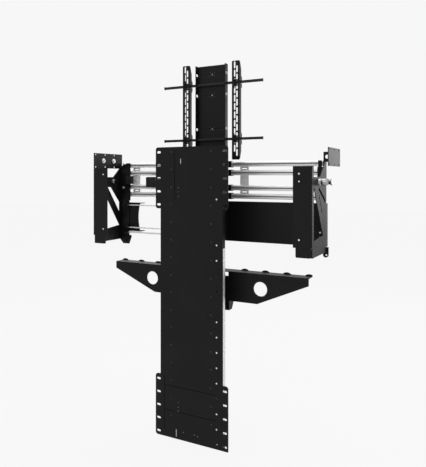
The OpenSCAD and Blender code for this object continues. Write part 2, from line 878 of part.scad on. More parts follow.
module front_post(side) {
    inner = frame_out - post_w;
    outer = side < 0 ? frame_out + frame_t : frame_out;
    color(BLACK) from_foot() mirrored(side) difference() {
        wall_sheet(post_near, frame_t) {
            rounded_rect(inner + foot_inset, frame_out - foot_outset, frame_low, post_foot_z + 12, 5);
            translate([inner, post_foot_z]) square([outer - inner, frame_top - post_foot_z]);
        }
        wall_sheet(post_near - 1, frame_t + 2) {
            for (z = [frame_top - 26, frame_low + 60]) {
                translate([inner + 21, z]) circle(4.5);
            }
            if (side > 0) {
                translate([inner + 21, frame_top - 52]) circle(2.5);
            }
        }
    }
}

// Side plate of an end frame, cut out to a K-shaped truss
module side_truss(side) {
    color(BLACK) from_foot() mirrored(side) side_sheet(truss_x, frame_t) difference() {
        union() {
            translate([post_far, frame_low]) square([truss_far - post_far, frame_top - frame_low]);
            if (side > 0) {
                translate([140, frame_top - eps]) square([truss_far - 140, right_peak + eps]);
            }
        }
        if (side < 0) {
            polygon([[strip_near, hub_high], [128.7, hub_high], [172.8, frame_top + 1],
                [strip_near, frame_top + 1]]);
            polygon([[91, hub_low], [112, hub_low], [strip_far, frame_top - 146],
                [strip_far, frame_top - 191]]);
            polygon([[strip_near, hub_low], [53, hub_low], [strip_far, frame_low + 62],
                [strip_near, frame_low + 45.5]]);
        } else {
            polygon([[strip_near, hub_high], [104.6, hub_high], [175.6, frame_top + right_peak + 1],
                [strip_near, frame_top + right_peak + 1]]);
            polygon([[88, hub_low + 9], [strip_far - 1, frame_top - 117],
                [strip_far - 1, frame_top - 131], [82, hub_low - 1]]);
            polygon([[86, hub_low - 19], [93, hub_low - 19], [131, hub_low - 82],
                [124, hub_low - 82]]);
            polygon([[strip_near, hub_low + 8], [strip_near + 5, hub_low + 8], [141, frame_low + 65],
                [strip_near, frame_low + 56]]);
        }
        translate([plunger_at(side), plunger_z]) circle(sleeve_d / 2 + hole_gap);
    }
}

module rear_post(side) {
    inner = side < 0 ? rear_in - 14 : rear_in;
    color(BLACK) from_foot() mirrored(side) difference() {
        wall_sheet(rear_y, frame_t) {
            translate([inner, frame_low + 20]) square([frame_out - inner, frame_top - frame_low - 20]);
            translate([inner + 3, frame_top - eps]) square([14, 24]);
            if (side < 0) {
                polygon([[frame_out, frame_top - eps], [frame_out, frame_top + 5],
                    [frame_out - 15.5, frame_top + 19], [inner + 4, frame_top + 20],
                    [inner + 4, frame_top - eps]]);
            }
        }
        if (side > 0) {
            for (z = [cover_low + 33, cover_low + 51]) {
                along_y(frame_out - 22, rear_y - 1, z) cylinder(d = 4, h = frame_t + 2);
            }
        }
    }
}

module rail_end_bracket() {
    color(BLACK) from_foot() wall_sheet(rear_y - frame_t, frame_t) {
        translate([11 - frame_out, frame_top - 99]) square([41, 100]);
        translate([end_strip_x - 7, frame_top - 139]) square([end_strip_w + 7, 163]);
    }
}

module rear_feet() {
    color(BLACK) from_foot() {
        mirrored(-1) {
            wall_sheet(rear_y, frame_t + 2) polygon([
                [frame_out - 56, frame_low + 18], [frame_out + 3, frame_low + 18],
                [frame_out + 3, frame_low], [frame_out - 15, frame_low - 20],
                [frame_out - 45, frame_low - 20], [frame_out - 56, frame_low + 8]]);
            along_y(frame_out - 30, rear_y - 4, frame_low - 6) cylinder(d = 10, h = 4, $fn = 6);
        }
        wall_sheet(rear_y, frame_t + 2) hull() {
            translate([frame_out - 12, frame_low]) square([20, 18]);
            translate([frame_out - 2, frame_low - 10]) circle(10);
        }
        along_y(frame_out + 2, rear_y - 4, frame_low - 10) cylinder(d = 10, h = 4, $fn = 6);
    }
}

module adaptor_holes(near) {
    for (i = [0:2], z = [frame_top + 6, adaptor_high - 6]) {
        translate([near + adaptor_hole_first + i * adaptor_hole_pitch, z]) circle(adaptor_hole_d / 2);
    }
}

module adaptor_plate_left() {
    color(BLACK) from_foot() side_sheet(-frame_out - frame_t, frame_t) difference() {
        union() {
            translate([post_near, frame_top]) square([rear_y + 11 - post_near, adaptor_high - frame_top]);
            translate([post_far, hub_high]) square([strip_near - post_far, frame_top + eps - hub_high]);
            translate([174, hub_high]) square([rear_y - 174, frame_top + eps - hub_high]);
        }
        adaptor_holes(0);
    }
}

module adaptor_plate_right() {
    near = 30;
    color(BLACK) from_foot() side_sheet(adaptor_right_x - frame_t, frame_t) difference() {
        translate([near, frame_top]) square([rail_y + frame_t - near, adaptor_high - frame_top]);
        adaptor_holes(near - 2);
    }
}

module adaptor_lug() {
    inner = frame_out - 11;
    color(BLACK) from_foot() wall_sheet(rail_y, frame_t) difference() {
        union() {
            translate([inner, frame_top + 18]) square([adaptor_right_x - frame_t - inner, 37]);
            translate([inner, frame_top - 64]) square([11, 84]);
        }
        translate([frame_out + 2, frame_top + 37]) circle(lug_hole_d / 2);
    }
}

module ring_bolt(d) {
    cylinder(d = d, h = 2);
    cylinder(d = d * 0.62, h = 7, $fn = 6);
}

module frame_bolts() {
    color(STEEL) from_foot() {
        for (y = [65, 133]) {
            along_x(-frame_out, y, frame_top + 32) ring_bolt(20);
        }
        for (z = [frame_top - 83, frame_top - 50, frame_top - 17]) {
            translate([-frame_out + 19, rear_y - frame_t, z]) rotate([90, 0, 0]) ring_bolt(11);
        }
        for (z = [cover_low + 33, cover_low + 51]) {
            translate([frame_out - 22, rear_y, z]) rotate([90, 0, 0]) cylinder(d = 7, h = 3);
        }
    }
}

module side_buffer() {
    color(BLACK) from_foot() {
        block(end_strip_x, end_strip_x + end_strip_w + 18, rear_y - frame_t - 14, rear_y - frame_t,
            frame_top - 67, frame_top - 32);
    }
}

// Pull plungers: a threaded sleeve through each truss and a knob with its pin

function plunger_at(side) = side < 0 ? plunger_left_y : plunger_right_y;

module plunger_sleeve(side) {
    inner = truss_x - 6;
    color(STEEL) from_foot() mirrored(side) difference() {
        union() {
            along_x(inner, plunger_at(side), plunger_z) cylinder(d = sleeve_d, h = 19);
            along_x(truss_x + frame_t, plunger_at(side), plunger_z) cylinder(d = sleeve_d + 6, h = 7);
        }
        along_x(inner - 1, plunger_at(side), plunger_z) cylinder(d = pin_d + 2 * running_gap, h = 40);
    }
}

module plunger_knob(side) {
    start = truss_x - 9;
    seat = truss_x + 13.3;
    color(SILVER) from_foot() mirrored(side) {
        along_x(start, plunger_at(side), plunger_z) cylinder(d = pin_d, h = seat - start + 2);
        along_x(seat, plunger_at(side), plunger_z) rotate_extrude() polygon([
            [0, 0], [knob_d / 2 - 2, 0], [knob_d / 2, 2], [knob_d / 2, knob_l - 15],
            [knob_d / 2 - 4, knob_l - 11], [knob_d / 2 - 4, knob_l - 8], [knob_d / 2, knob_l - 3],
            [knob_d / 2, knob_l], [0, knob_l]]);
    }
}

column_plate();
top_wall_plate();
bottom_wall_plate();
centre_plate();
guide_channel(-1);  // guide_channel_left
guide_channel(1);  // guide_channel_right
rack_spine();
gear_rack();
column_screws();
stop_buffers();
arm_bracket(-1);  // arm_bracket_left
arm_bracket(1);  // arm_bracket_right
support_arm(-1);  // support_arm_left
support_arm(1);  // support_arm_right
support_bolts();
mast_channel();
cheek(-1);  // cheek_left
cheek(1);  // cheek_right
roller_stubs();
roller(-1, roller_high);  // roller_upper_left
roller(1, roller_high);  // roller_upper_right
roller(-1, roller_low);  // roller_lower_left
roller(1, roller_low);  // roller_lower_right
gearbox_housing();
drive_motor();
motor_end_housing();
drive_pinion();
cross_plate();
rail_clamps();
rail(rail_a_z);  // rail_a
rail(rail_b_z);  // rail_b
rail(rail_c_z);  // rail_c
rail(rail_d_z);  // rail_d
tie_plates();
crossbar(bar_high);  // crossbar_upper
crossbar(bar_low);  // crossbar_lower
tv_arm(-arm_spacing / 2);  // tv_arm_left
tv_arm(arm_spacing / 2);  // tv_arm_right
bar_keepers();
cover_panel();
cover_mount();
curved_bracket();
guide_rods();
front_post(-1);  // front_post_left
front_post(1);  // front_post_right
side_truss(-1);  // side_truss_left
side_truss(1);  // side_truss_right
rear_post(-1);  // rear_post_left
rear_post(1);  // rear_post_right
rail_end_bracket();
rear_feet();
adaptor_plate_left();
adaptor_plate_right();
adaptor_lug();
frame_bolts();
side_buffer();
plunger_sleeve(-1);  // plunger_sleeve_left
plunger_sleeve(1);  // plunger_sleeve_right
plunger_knob(-1);  // plunger_knob_left
plunger_knob(1);  // plunger_knob_right
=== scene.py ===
"""Looks of the wall-mounted TV lift: finishes, fittings, studio light and the photo's camera."""

import json
import logging
import math
from collections.abc import Iterator, Sequence
from dataclasses import dataclass
from enum import Enum

import bmesh
import bpy
from mathutils import Matrix, Vector

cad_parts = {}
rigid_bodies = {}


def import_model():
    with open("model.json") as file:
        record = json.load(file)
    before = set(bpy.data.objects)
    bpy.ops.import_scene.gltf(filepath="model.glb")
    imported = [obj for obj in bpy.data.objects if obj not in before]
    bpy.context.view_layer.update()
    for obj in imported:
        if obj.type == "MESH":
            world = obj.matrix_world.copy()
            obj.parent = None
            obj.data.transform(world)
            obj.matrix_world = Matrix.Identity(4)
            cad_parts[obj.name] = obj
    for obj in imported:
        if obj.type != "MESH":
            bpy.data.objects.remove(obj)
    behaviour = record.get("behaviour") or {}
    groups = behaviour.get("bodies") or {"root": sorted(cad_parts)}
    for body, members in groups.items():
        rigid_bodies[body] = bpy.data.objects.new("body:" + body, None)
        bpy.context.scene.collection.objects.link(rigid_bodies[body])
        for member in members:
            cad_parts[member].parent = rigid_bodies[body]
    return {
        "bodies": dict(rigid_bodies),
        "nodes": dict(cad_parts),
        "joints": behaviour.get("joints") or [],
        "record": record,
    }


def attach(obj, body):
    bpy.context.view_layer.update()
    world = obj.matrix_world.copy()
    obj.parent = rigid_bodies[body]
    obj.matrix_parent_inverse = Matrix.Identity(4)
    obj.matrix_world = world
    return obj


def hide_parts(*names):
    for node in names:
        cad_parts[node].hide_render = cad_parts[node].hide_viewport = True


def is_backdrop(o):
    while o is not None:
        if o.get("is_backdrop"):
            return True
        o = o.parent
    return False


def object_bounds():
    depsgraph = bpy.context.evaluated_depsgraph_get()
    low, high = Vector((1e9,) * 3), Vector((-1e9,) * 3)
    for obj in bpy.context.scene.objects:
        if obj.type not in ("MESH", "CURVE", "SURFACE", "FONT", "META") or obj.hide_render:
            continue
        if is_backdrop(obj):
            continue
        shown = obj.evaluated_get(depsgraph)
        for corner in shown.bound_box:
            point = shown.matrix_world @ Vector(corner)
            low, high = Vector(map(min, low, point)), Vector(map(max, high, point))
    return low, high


LOG = logging.getLogger("tv_lift")
FOOT = 0.015
MM = 0.001
MERGE_DISTANCE = 1e-6
FINE_BUMP = 0.00002

Point = tuple[float, float, float]
Colour = tuple[float, float, float]
Sizes = tuple[float, ...]
Pairs = tuple[tuple[float, float], ...]


def high(millimetres: float) -> float:
    """Turn a height above the column's foot, in millimetres, into the frame's metres."""
    return millimetres * MM - FOOT


def turning(*pairs: tuple[float, float]) -> Pairs:
    """Turn an outline's radii and heights from millimetres into metres."""
    return tuple((radius * MM, height * MM) for radius, height in pairs)


@dataclass(frozen=True)
class Row:
    """Evenly spaced heights, in millimetres above the column's foot."""

    first: float
    pitch: float
    count: int

    def __iter__(self) -> Iterator[float]:
        """Each height, in the frame's metres."""
        return (high(self.first + step * self.pitch) for step in range(self.count))


class Axis(Enum):
    """Direction that a turned piece points in."""

    X = (1, 0, 0)
    MINUS_X = (-1, 0, 0)
    Y = (0, 1, 0)
    MINUS_Y = (0, -1, 0)
    Z = (0, 0, 1)

    def place(self, at: Point) -> Matrix:
        """Matrix that stands a piece made along +Z at a point, pointing this way."""
        turn = Vector((0, 0, 1)).rotation_difference(Vector(self.value))
        return Matrix.Translation(at) @ turn.to_matrix().to_4x4()


class Body(Enum):
    """Moving bodies of the lift."""

    COLUMN = "column"
    MAST = "mast"
    LEFT_PLUNGER = "left_plunger"
    RIGHT_PLUNGER = "right_plunger"
    UPPER_LEFT = "upper_left_roller"
    UPPER_RIGHT = "upper_right_roller"
    LOWER_LEFT = "lower_left_roller"
    LOWER_RIGHT = "lower_right_roller"


# Shader maths


class Signal:
    """One number in a material. Arithmetic on it adds Math nodes."""

    def __init__(self, graph: "Graph", socket: bpy.types.NodeSocket) -> None:
        """Wrap an output socket."""
        self.graph = graph
        self.socket = socket

    def _math(self, operation: str, first: object, second: object) -> "Signal":
        """Add one Math node.

        Args:
            operation: Name of the Math node's operation.
            first: Value or signal of the first input.
            second: Value or signal of the second input.

        Returns:
            The node's result.
        """
        node = self.graph.node("ShaderNodeMath", {"operation": operation}, {0: first, 1: second})
        return Signal(self.graph, node.outputs[0])

    def __add__(self, other: object) -> "Signal":
        """Sum."""
        return self._math("ADD", self, other)

    def __sub__(self, other: object) -> "Signal":
        """Difference."""
        return self._math("SUBTRACT", self, other)

    def __mul__(self, other: object) -> "Signal":
        """Product."""
        return self._math("MULTIPLY", self, other)

    __radd__ = __add__
    __rmul__ = __mul__

    def above(self, limit: float, softness: float) -> "Signal":
        """Mask that rises from 0 to 1 around a limit.

        Args:
            limit: Value at which the mask is one half.
            softness: Width of the rise.

        Returns:
            The mask.
        """
        node = self.graph.node(
            "ShaderNodeMapRange",
            {"interpolation_type": "SMOOTHSTEP"},
            {0: self, 1: limit - softness / 2, 2: limit + softness / 2, 3: 0.0, 4: 1.0},
        )
        return Signal(self.graph, node.outputs[0])


class Graph:
    """Node tree of one material or of the world."""

    def __init__(self, tree: bpy.types.NodeTree) -> None:
        """Start from an empty tree."""
        self.tree = tree
        tree.nodes.clear()

    def node(
        self, kind: str, settings: dict[str, object], inputs: dict[object, object]
    ) -> bpy.types.Node:
        """Add a node.

        Args:
            kind: The node's type.
            settings: Its attributes, set before its sockets.
            inputs: Values, sockets or signals by socket name or number.

        Returns:
            The node.
        """
        node = self.tree.nodes.new(kind)
        for key, value in settings.items():
            setattr(node, key, value)
        for key, value in inputs.items():
            socket = node.inputs[key]
            if isinstance(value, Signal):
                self.tree.links.new(value.socket, socket)
            elif isinstance(value, bpy.types.NodeSocket):
                self.tree.links.new(value, socket)
            else:
                socket.default_value = value
        return node

    def coordinates(self, stretch: Point = (1.0, 1.0, 1.0)) -> bpy.types.NodeSocket:
        """Object coordinates.

        Args:
            stretch: Scale along each axis, small along the direction of drawn or brushed lines.

        Returns:
            The vector socket.
        """
        source = self.node("ShaderNodeTexCoord", {}, {})
        mapping = self.node("ShaderNodeMapping", {}, {0: source.outputs["Object"], 3: stretch})
        return mapping.outputs[0]

    def noise(self, scale: float, detail: float = 2.0, stretch: Point = (1.0, 1.0, 1.0)) -> Signal:
        """Noise on object coordinates.

        Args:
            scale: Repeats per metre.
            detail: Number of octaves.
            stretch: Scale along each axis.

        Returns:
            The noise, from 0 to 1.
        """
        inputs = {"Vector": self.coordinates(stretch), "Scale": scale, "Detail": detail}
        return Signal(self, self.node("ShaderNodeTexNoise", {}, inputs).outputs[0])

    def cells(self, scale: float) -> Signal:
        """Distance to the nearest random point, on object coordinates."""
        inputs = {"Vector": self.coordinates(), "Scale": scale}
        return Signal(self, self.node("ShaderNodeTexVoronoi", {}, inputs).outputs["Distance"])

    def mix(self, mask: Signal, first: Colour, second: Colour) -> bpy.types.NodeSocket:
        """Blend two colours.

        Args:
            mask: 0 for the first colour, 1 for the second.
            first: Linear RGB.
            second: Linear RGB.

        Returns:
            The colour socket.
        """
        settings = {"data_type": "RGBA", "blend_type": "MIX"}
        node = self.node("ShaderNodeMix", settings, {0: mask, 6: (*first, 1.0), 7: (*second, 1.0)})
        return node.outputs[2]

    def bump(self, height: Signal, distance: float) -> bpy.types.NodeSocket:
        """Normal of a height from 0 to 1, where 1 stands for a distance in metres."""
        inputs = {"Height": height, "Distance": distance, "Strength": 1.0}
        return self.node("ShaderNodeBump", {}, inputs).outputs[0]

    def finish(self, **inputs: object) -> None:
        """Add the surface shader and the output.

        Args:
            **inputs: Sockets of the surface shader, with underscores for blanks.
        """
        named = {key.replace("_", " "): value for key, value in inputs.items()}
        shader = self.node("ShaderNodeBsdfPrincipled", {}, named)
        self.node("ShaderNodeOutputMaterial", {}, {0: shader.outputs[0]})


# Finishes


@dataclass(frozen=True)
class Finish:
    """A finish that is made once and shared by all its pieces."""

    name: str
    slot: str

    def paint(self, graph: Graph) -> None:
        """Fill the material's graph."""
        raise NotImplementedError

    def material(self) -> bpy.types.Material:
        """The finish's material, made on its first use."""
        found = bpy.data.materials.get(self.name)
        if found is None:
            found = bpy.data.materials.new(self.name)
            found.use_nodes = True
            self.paint(Graph(found.node_tree))
        return found


@dataclass(frozen=True)
class PowderCoat(Finish):
    """Black powder coat with a fine orange peel, faint dust and rubbed patches."""

    slot: str = "black_powder_coat"
    colour: Colour = (0.0082, 0.0082, 0.0088)
    dusty: Colour = (0.0125, 0.0125, 0.0132)
    roughness: float = 0.36
    specular: float = 0.12
    peel: float = 0.00004

    def paint(self, graph: Graph) -> None:
        """Fill the material's graph."""
        patches = graph.noise(scale=7.0, detail=4.0)
        grain = graph.noise(scale=1500.0)
        specks = graph.cells(scale=420.0)
        dust = patches.above(limit=0.58, softness=0.3) * 0.6
        dust = dust + specks.above(limit=0.75, softness=0.2) * 0.25
        streaks = graph.noise(scale=60.0, detail=3.0, stretch=(0.4, 0.4, 6.0))
        scratch = streaks.above(limit=0.72, softness=0.05)
        graph.finish(
            Base_Color=graph.mix(dust, self.colour, self.dusty),
            Roughness=self.roughness + 0.12 * patches - 0.07 * scratch,
            Specular_IOR_Level=self.specular,
            Normal=graph.bump(grain, self.peel),
        )


@dataclass(frozen=True)
class DrawnAluminium(Finish):
    """Bright drawn aluminium with fine lines along X."""

    slot: str = "bright_aluminium"
    colour: Colour = (0.92, 0.922, 0.925)
    shade: Colour = (0.72, 0.725, 0.73)
    roughness: float = 0.31
    lines: Point = (0.02, 1.0, 1.0)
    metallic: float = 0.35

    def paint(self, graph: Graph) -> None:
        """Fill the material's graph."""
        fine = graph.noise(scale=2600.0, detail=3.0, stretch=self.lines)
        wide = graph.noise(scale=240.0, stretch=self.lines)
        clouds = graph.noise(scale=11.0, detail=3.0)
        streaks = wide.above(limit=0.6, softness=0.3) * 0.6
        graph.finish(
            Base_Color=graph.mix(streaks, self.colour, self.shade),
            Metallic=self.metallic,
            Roughness=self.roughness + 0.10 * fine + 0.07 * clouds,
            Normal=graph.bump(fine, FINE_BUMP),
        )


@dataclass(frozen=True)
class PlatedSteel(Finish):
    """Zinc-plated steel with faint bluish clouds."""

    slot: str = "zinc_plated_steel"
    colour: Colour = (0.52, 0.54, 0.57)
    shade: Colour = (0.34, 0.35, 0.37)
    roughness: float = 0.28

    def paint(self, graph: Graph) -> None:
        """Fill the material's graph."""
        clouds = graph.noise(scale=90.0, detail=4.0)
        fine = graph.noise(scale=3000.0)
        dull = clouds.above(limit=0.52, softness=0.4)
        graph.finish(
            Base_Color=graph.mix(dull, self.colour, self.shade),
            Metallic=1.0,
            Roughness=self.roughness + 0.16 * clouds,
            Normal=graph.bump(fine, FINE_BUMP),
        )


@dataclass(frozen=True)
class MouldedPlastic(Finish):
    """Moulded plastic or rubber with a spark-eroded grain."""

    slot: str = "motor_finish"
    colour: Colour = (0.010, 0.010, 0.011)
    worn: Colour = (0.017, 0.017, 0.018)
    roughness: float = 0.5
    specular: float = 0.2
    grain: float = 1100.0
    depth: float = 0.00008

    def paint(self, graph: Graph) -> None:
        """Fill the material's graph."""
        grain = graph.cells(self.grain)
        patches = graph.noise(scale=24.0, detail=3.0)
        rubbed = patches.above(limit=0.55, softness=0.35)
        graph.finish(
            Base_Color=graph.mix(rubbed, self.colour, self.worn),
            Roughness=self.roughness + 0.14 * patches,
            Specular_IOR_Level=self.specular,
            Normal=graph.bump(grain, self.depth),
        )


POWDER = PowderCoat("black_powder_coat_look")
MATTE_COAT = PowderCoat("matte_black_coat_look", roughness=0.42)
BAR_COAT = PowderCoat(
    "grey_black_bar_coat_look",
    colour=(0.021, 0.021, 0.022),
    dusty=(0.026, 0.026, 0.027),
)
MOTOR_PAINT = PowderCoat(
    "motor_paint_look",
    "motor_finish",
    colour=(0.010, 0.010, 0.011),
    dusty=(0.015, 0.015, 0.016),
    roughness=0.3,
    specular=0.2,
    peel=0.00003,
)
ALUMINIUM = DrawnAluminium("drawn_aluminium_look")
# The knob's colour and shade are far darker than polished aluminium: painted reflection of dark
# surroundings.
POLISHED = DrawnAluminium(
    "polished_knob_painted_reflection_look",
    colour=(0.36, 0.36, 0.37),
    shade=(0.24, 0.24, 0.25),
    roughness=0.16,
    lines=(1.0, 0.05, 0.05),
    metallic=1.0,
)
SATIN = DrawnAluminium(
    "satin_plate_look",
    colour=(0.92, 0.92, 0.925),
    shade=(0.76, 0.76, 0.765),
    roughness=0.44,
    lines=(1.0, 1.0, 0.04),
    metallic=0.15,
)
ZINC = PlatedSteel("zinc_plated_steel_look")
BRIGHT_ZINC = PlatedSteel(
    "bright_zinc_look",
    colour=(0.8, 0.81, 0.82),
    shade=(0.62, 0.63, 0.64),
    roughness=0.4,
)
CUT_STEEL = PlatedSteel(
    "cut_steel_look",
    colour=(0.42, 0.42, 0.43),
    shade=(0.2, 0.19, 0.18),
    roughness=0.34,
)
BLACKED = PlatedSteel(
    "blacked_steel_look",
    colour=(0.052, 0.052, 0.055),
    shade=(0.032, 0.032, 0.034),
    roughness=0.3,
)
RUBBER = MouldedPlastic("black_rubber_look", "black_rubber", roughness=0.66)
# Near-black fill for the wall plates' pressed grooves: painted shade of the grooves' depth.
GROOVE_SHADE = MouldedPlastic(
    "groove_painted_shade_look",
    "black_rubber",
    colour=(0.0012, 0.0012, 0.0012),
    worn=(0.002, 0.002, 0.002),
    roughness=0.75,
)
CAP_PLASTIC = MouldedPlastic("cap_plastic_look", roughness=0.42, depth=0.00004)
STRIP_PLASTIC = MouldedPlastic(
    "grey_strip_look",
    colour=(0.15, 0.15, 0.152),
    worn=(0.2, 0.2, 0.202),
    depth=0.00003,
)
NYLON = MouldedPlastic(
    "white_nylon_look",
    "white_nylon",
    colour=(0.72, 0.71, 0.66),
    worn=(0.6, 0.59, 0.53),
    roughness=0.38,
    grain=900.0,
    depth=0.00003,
)
SLOT_FINISHES = {
    finish.slot: finish for finish in (POWDER, ALUMINIUM, ZINC, MOTOR_PAINT, RUBBER, NYLON)
}


# Shapes


class Shape:
    """A mesh under construction, in metres in the lift's frame.

    Attributes:
        rounded_above: Angle over which an edge counts as sharp, in radians.
        head_taper: Radius of a screw head's top, as a share of its foot's.
        socket_rim: Width of the rim round its socket, as a share of its radius.
        socket_depth: Depth of the socket, as a share of the head's height.
        thread_depth: Depth of a thread, as a share of its pitch.
    """

    rounded_above: float = math.radians(30)
    head_taper: float = 0.9
    socket_rim: float = 0.4
    socket_depth: float = 0.6
    thread_depth: float = 0.55

    def __init__(self) -> None:
        """Start empty."""
        self.bm = bmesh.new()

    def _rounded(self, verts: Sequence[bmesh.types.BMVert], radius: float, segments: int) -> None:
        """Round the sharp edges among some vertices.

        Args:
            verts: Vertices of the piece just made.
            radius: Width of the rounding.
            segments: Steps in it.
        """
        chosen = set(verts)
        edges = dict.fromkeys(
            edge
            for vert in verts
            for edge in vert.link_edges
            if edge.other_vert(vert) in chosen and edge.calc_face_angle(0.0) > self.rounded_above
        )
        bmesh.ops.bevel(
            self.bm,
            geom=list(edges),
            offset=radius,
            offset_type="OFFSET",
            segments=segments,
            profile=0.5,
            affect="EDGES",
            material=-1,
        )

    def block(self, low: Point, top: Point, radius: float, segments: int = 2) -> None:
        """Add a block with rounded edges.

        Args:
            low: Lowest corner.
            top: Highest corner.
            radius: Rounding of the edges.
            segments: Steps in the rounding.
        """
        size = Vector(top) - Vector(low)
        middle = (Vector(top) + Vector(low)) / 2
        matrix = Matrix.Translation(middle) @ Matrix.Diagonal((*size, 1.0))
        made = bmesh.ops.create_cube(self.bm, size=1.0, matrix=matrix)
        self._rounded(made["verts"], radius, segments)

    def rod(
        self, at: Point, axis: Axis, radius: float, length: float, rounding: float, sides: int = 32
    ) -> None:
        """Add a round or many-sided bar.

        Args:
            at: Middle of its first end.
            axis: Direction it runs in.
            radius: Radius, or half the width over corners.
            length: Its length.
            rounding: Rounding of its edges.
            sides: Number of sides.
        """
        made = bmesh.ops.create_cone(
            self.bm,
            cap_ends=True,
            segments=sides,
            radius1=radius,
            radius2=radius,
            depth=length,
            matrix=axis.place(at) @ Matrix.Translation((0, 0, length / 2)),
        )
        self._rounded(made["verts"], rounding, 2)

    def turned(
        self, at: Point, axis: Axis, profile: Sequence[tuple[float, float]], steps: int = 40
    ) -> None:
        """Spin a profile round an axis.

        Args:
            at: Point on the axis where the profile's height is 0.
            axis: Direction of the axis.
            profile: Radius and height of each point, outwards from the axis and back.
            steps: Steps in the full turn.
        """
        piece = bmesh.new()
        verts = [piece.verts.new((radius, 0.0, height)) for radius, height in profile]
        edges = [piece.edges.new(pair) for pair in zip(verts, verts[1:])]
        bmesh.ops.spin(
            piece,
            geom=verts + edges,
            cent=(0, 0, 0),
            axis=(0, 0, 1),
            dvec=(0, 0, 0),
            angle=math.tau,
            steps=steps,
            use_merge=True,
            use_duplicate=False,
        )
        bmesh.ops.remove_doubles(piece, verts=piece.verts, dist=MERGE_DISTANCE)
        bmesh.ops.recalc_face_normals(piece, faces=piece.faces)
        bmesh.ops.transform(piece, matrix=axis.place(at), verts=piece.verts)
        self.absorb(piece)

    def absorb(self, piece: bmesh.types.BMesh) -> None:
        """Move a finished mesh into this one."""
        mesh = bpy.data.meshes.new("part")
        piece.to_mesh(mesh)
        piece.free()
        self.bm.from_mesh(mesh)
        bpy.data.meshes.remove(mesh)

    def plate(
        self, outline: Sequence[tuple[float, float]], matrix: Matrix, thickness: float
    ) -> None:
        """Add a flat plate of any outline.

        Args:
            outline: Corners in the plate's own plane.
            matrix: Carries that plane to its place; the thickness runs along its +Z.
            thickness: Thickness of the plate.
        """
        verts = [self.bm.verts.new((x, y, 0.0)) for x, y in outline]
        face = self.bm.faces.new(verts)
        grown = bmesh.ops.extrude_face_region(self.bm, geom=[face])
        top = [item for item in grown["geom"] if isinstance(item, bmesh.types.BMVert)]
        bmesh.ops.translate(self.bm, vec=(0, 0, thickness), verts=top)
        every = verts + top
        bmesh.ops.transform(self.bm, matrix=matrix, verts=every)
        faces = dict.fromkeys(face for vert in every for face in vert.link_faces)
        bmesh.ops.recalc_face_normals(self.bm, faces=list(faces))

    def socket_screw(
        self, at: Point, axis: Axis, radius: float, height: float, key: float, sides: int = 24
    ) -> None:
        """Add a low round screw head with a hexagon socket.

        Args:
            at: Middle of the head's underside.
            axis: Direction the head faces.
            radius: Radius of the head.
            height: Height of the head.
            key: Width over flats of the socket.
            sides: Steps round the head, a multiple of six.
        """
        piece = bmesh.new()
        bmesh.ops.create_cone(
            piece,
            cap_ends=True,
            segments=sides,
            radius1=radius,
            radius2=radius * self.head_taper,
            depth=height,
            matrix=Matrix.Translation((0, 0, height / 2)),
        )
        top = max(piece.faces, key=lambda face: face.calc_center_median().z)
        rim = radius * self.socket_rim
        bmesh.ops.inset_region(piece, faces=[top], thickness=rim, use_even_offset=True)
        sixth = math.pi / 3
        for vert in top.verts:
            turn = math.atan2(vert.co.y, vert.co.x)
            flat = (key / 2) / math.cos((turn % sixth) - sixth / 2)
            vert.co.x = flat * math.cos(turn)
            vert.co.y = flat * math.sin(turn)
        sunk = bmesh.ops.extrude_face_region(piece, geom=[top])
        floor = [item for item in sunk["geom"] if isinstance(item, bmesh.types.BMVert)]
        bmesh.ops.delete(piece, geom=[top], context="FACES_ONLY")
        bmesh.ops.translate(piece, vec=(0, 0, -height * self.socket_depth), verts=floor)
        bmesh.ops.recalc_face_normals(piece, faces=piece.faces)
        bmesh.ops.transform(piece, matrix=axis.place(at), verts=piece.verts)
        self.absorb(piece)

    def hex_bolt(self, at: Point, axis: Axis, flats: float, height: float) -> None:
        """Add a chamfered hexagon head or nut on a washer.

        Args:
            at: Middle of the washer's underside.
            axis: Direction the head faces.
            flats: Width over flats.
            height: Height over all.
        """
        washer = height * 0.22
        self.rod(at, axis, radius=flats * 0.86, length=washer, rounding=washer * 0.25, sides=28)
        seat = tuple(axis.place(at) @ Vector((0, 0, washer)))
        corner = flats / math.sqrt(3)
        self.rod(seat, axis, corner, height - washer, rounding=height * 0.09, sides=6)

    def thread(self, at: Point, axis: Axis, radius: float, length: float, pitch: float) -> None:
        """Add a stud with thread ridges.

        Args:
            at: Middle of its first end.
            axis: Direction it runs in.
            radius: Outside radius.
            length: Length.
            pitch: Spacing of the ridges.
        """
        root = radius - pitch * self.thread_depth
        profile = [(0.0, 0.0), (root, 0.0)]
        for turn in range(max(1, int(length / pitch))):
            profile += [(radius, (turn + 0.5) * pitch), (root, (turn + 1) * pitch)]
        profile.append((0.0, profile[-1][1]))
        self.turned(at, axis, profile, 20)

    def mirrored(self) -> None:
        """Add the mirror image in the plane X = 0."""
        every = self.bm.verts[:] + self.bm.edges[:] + self.bm.faces[:]
        bmesh.ops.mirror(self.bm, geom=every, axis="X")
        bmesh.ops.recalc_face_normals(self.bm, faces=self.bm.faces)

    def piece(
        self,
        name: str,
        finish: Finish,
        body: Body,
        replaces: Sequence[str] = (),
        smooth_deg: float = 34.0,
    ) -> None:
        """Finish the mesh as a piece of the lift.

        Args:
            name: The piece's name.
            finish: Its finish.
            body: Body it rides on.
            replaces: CAD nodes it stands for.
            smooth_deg: Edges flatter than this are shaded smooth.
        """
        mesh = bpy.data.meshes.new(name)
        self.bm.to_mesh(mesh)
        self.bm.free()
        mesh.shade_smooth()
        mesh.set_sharp_from_angle(angle=math.radians(smooth_deg))
        mesh.materials.append(finish.material())
        obj = bpy.data.objects.new(name, mesh)
        bpy.context.scene.collection.objects.link(obj)
        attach(obj, body.value)
        if replaces:
            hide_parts(*replaces)
        LOG.info("%s: %d faces", name, len(mesh.polygons))


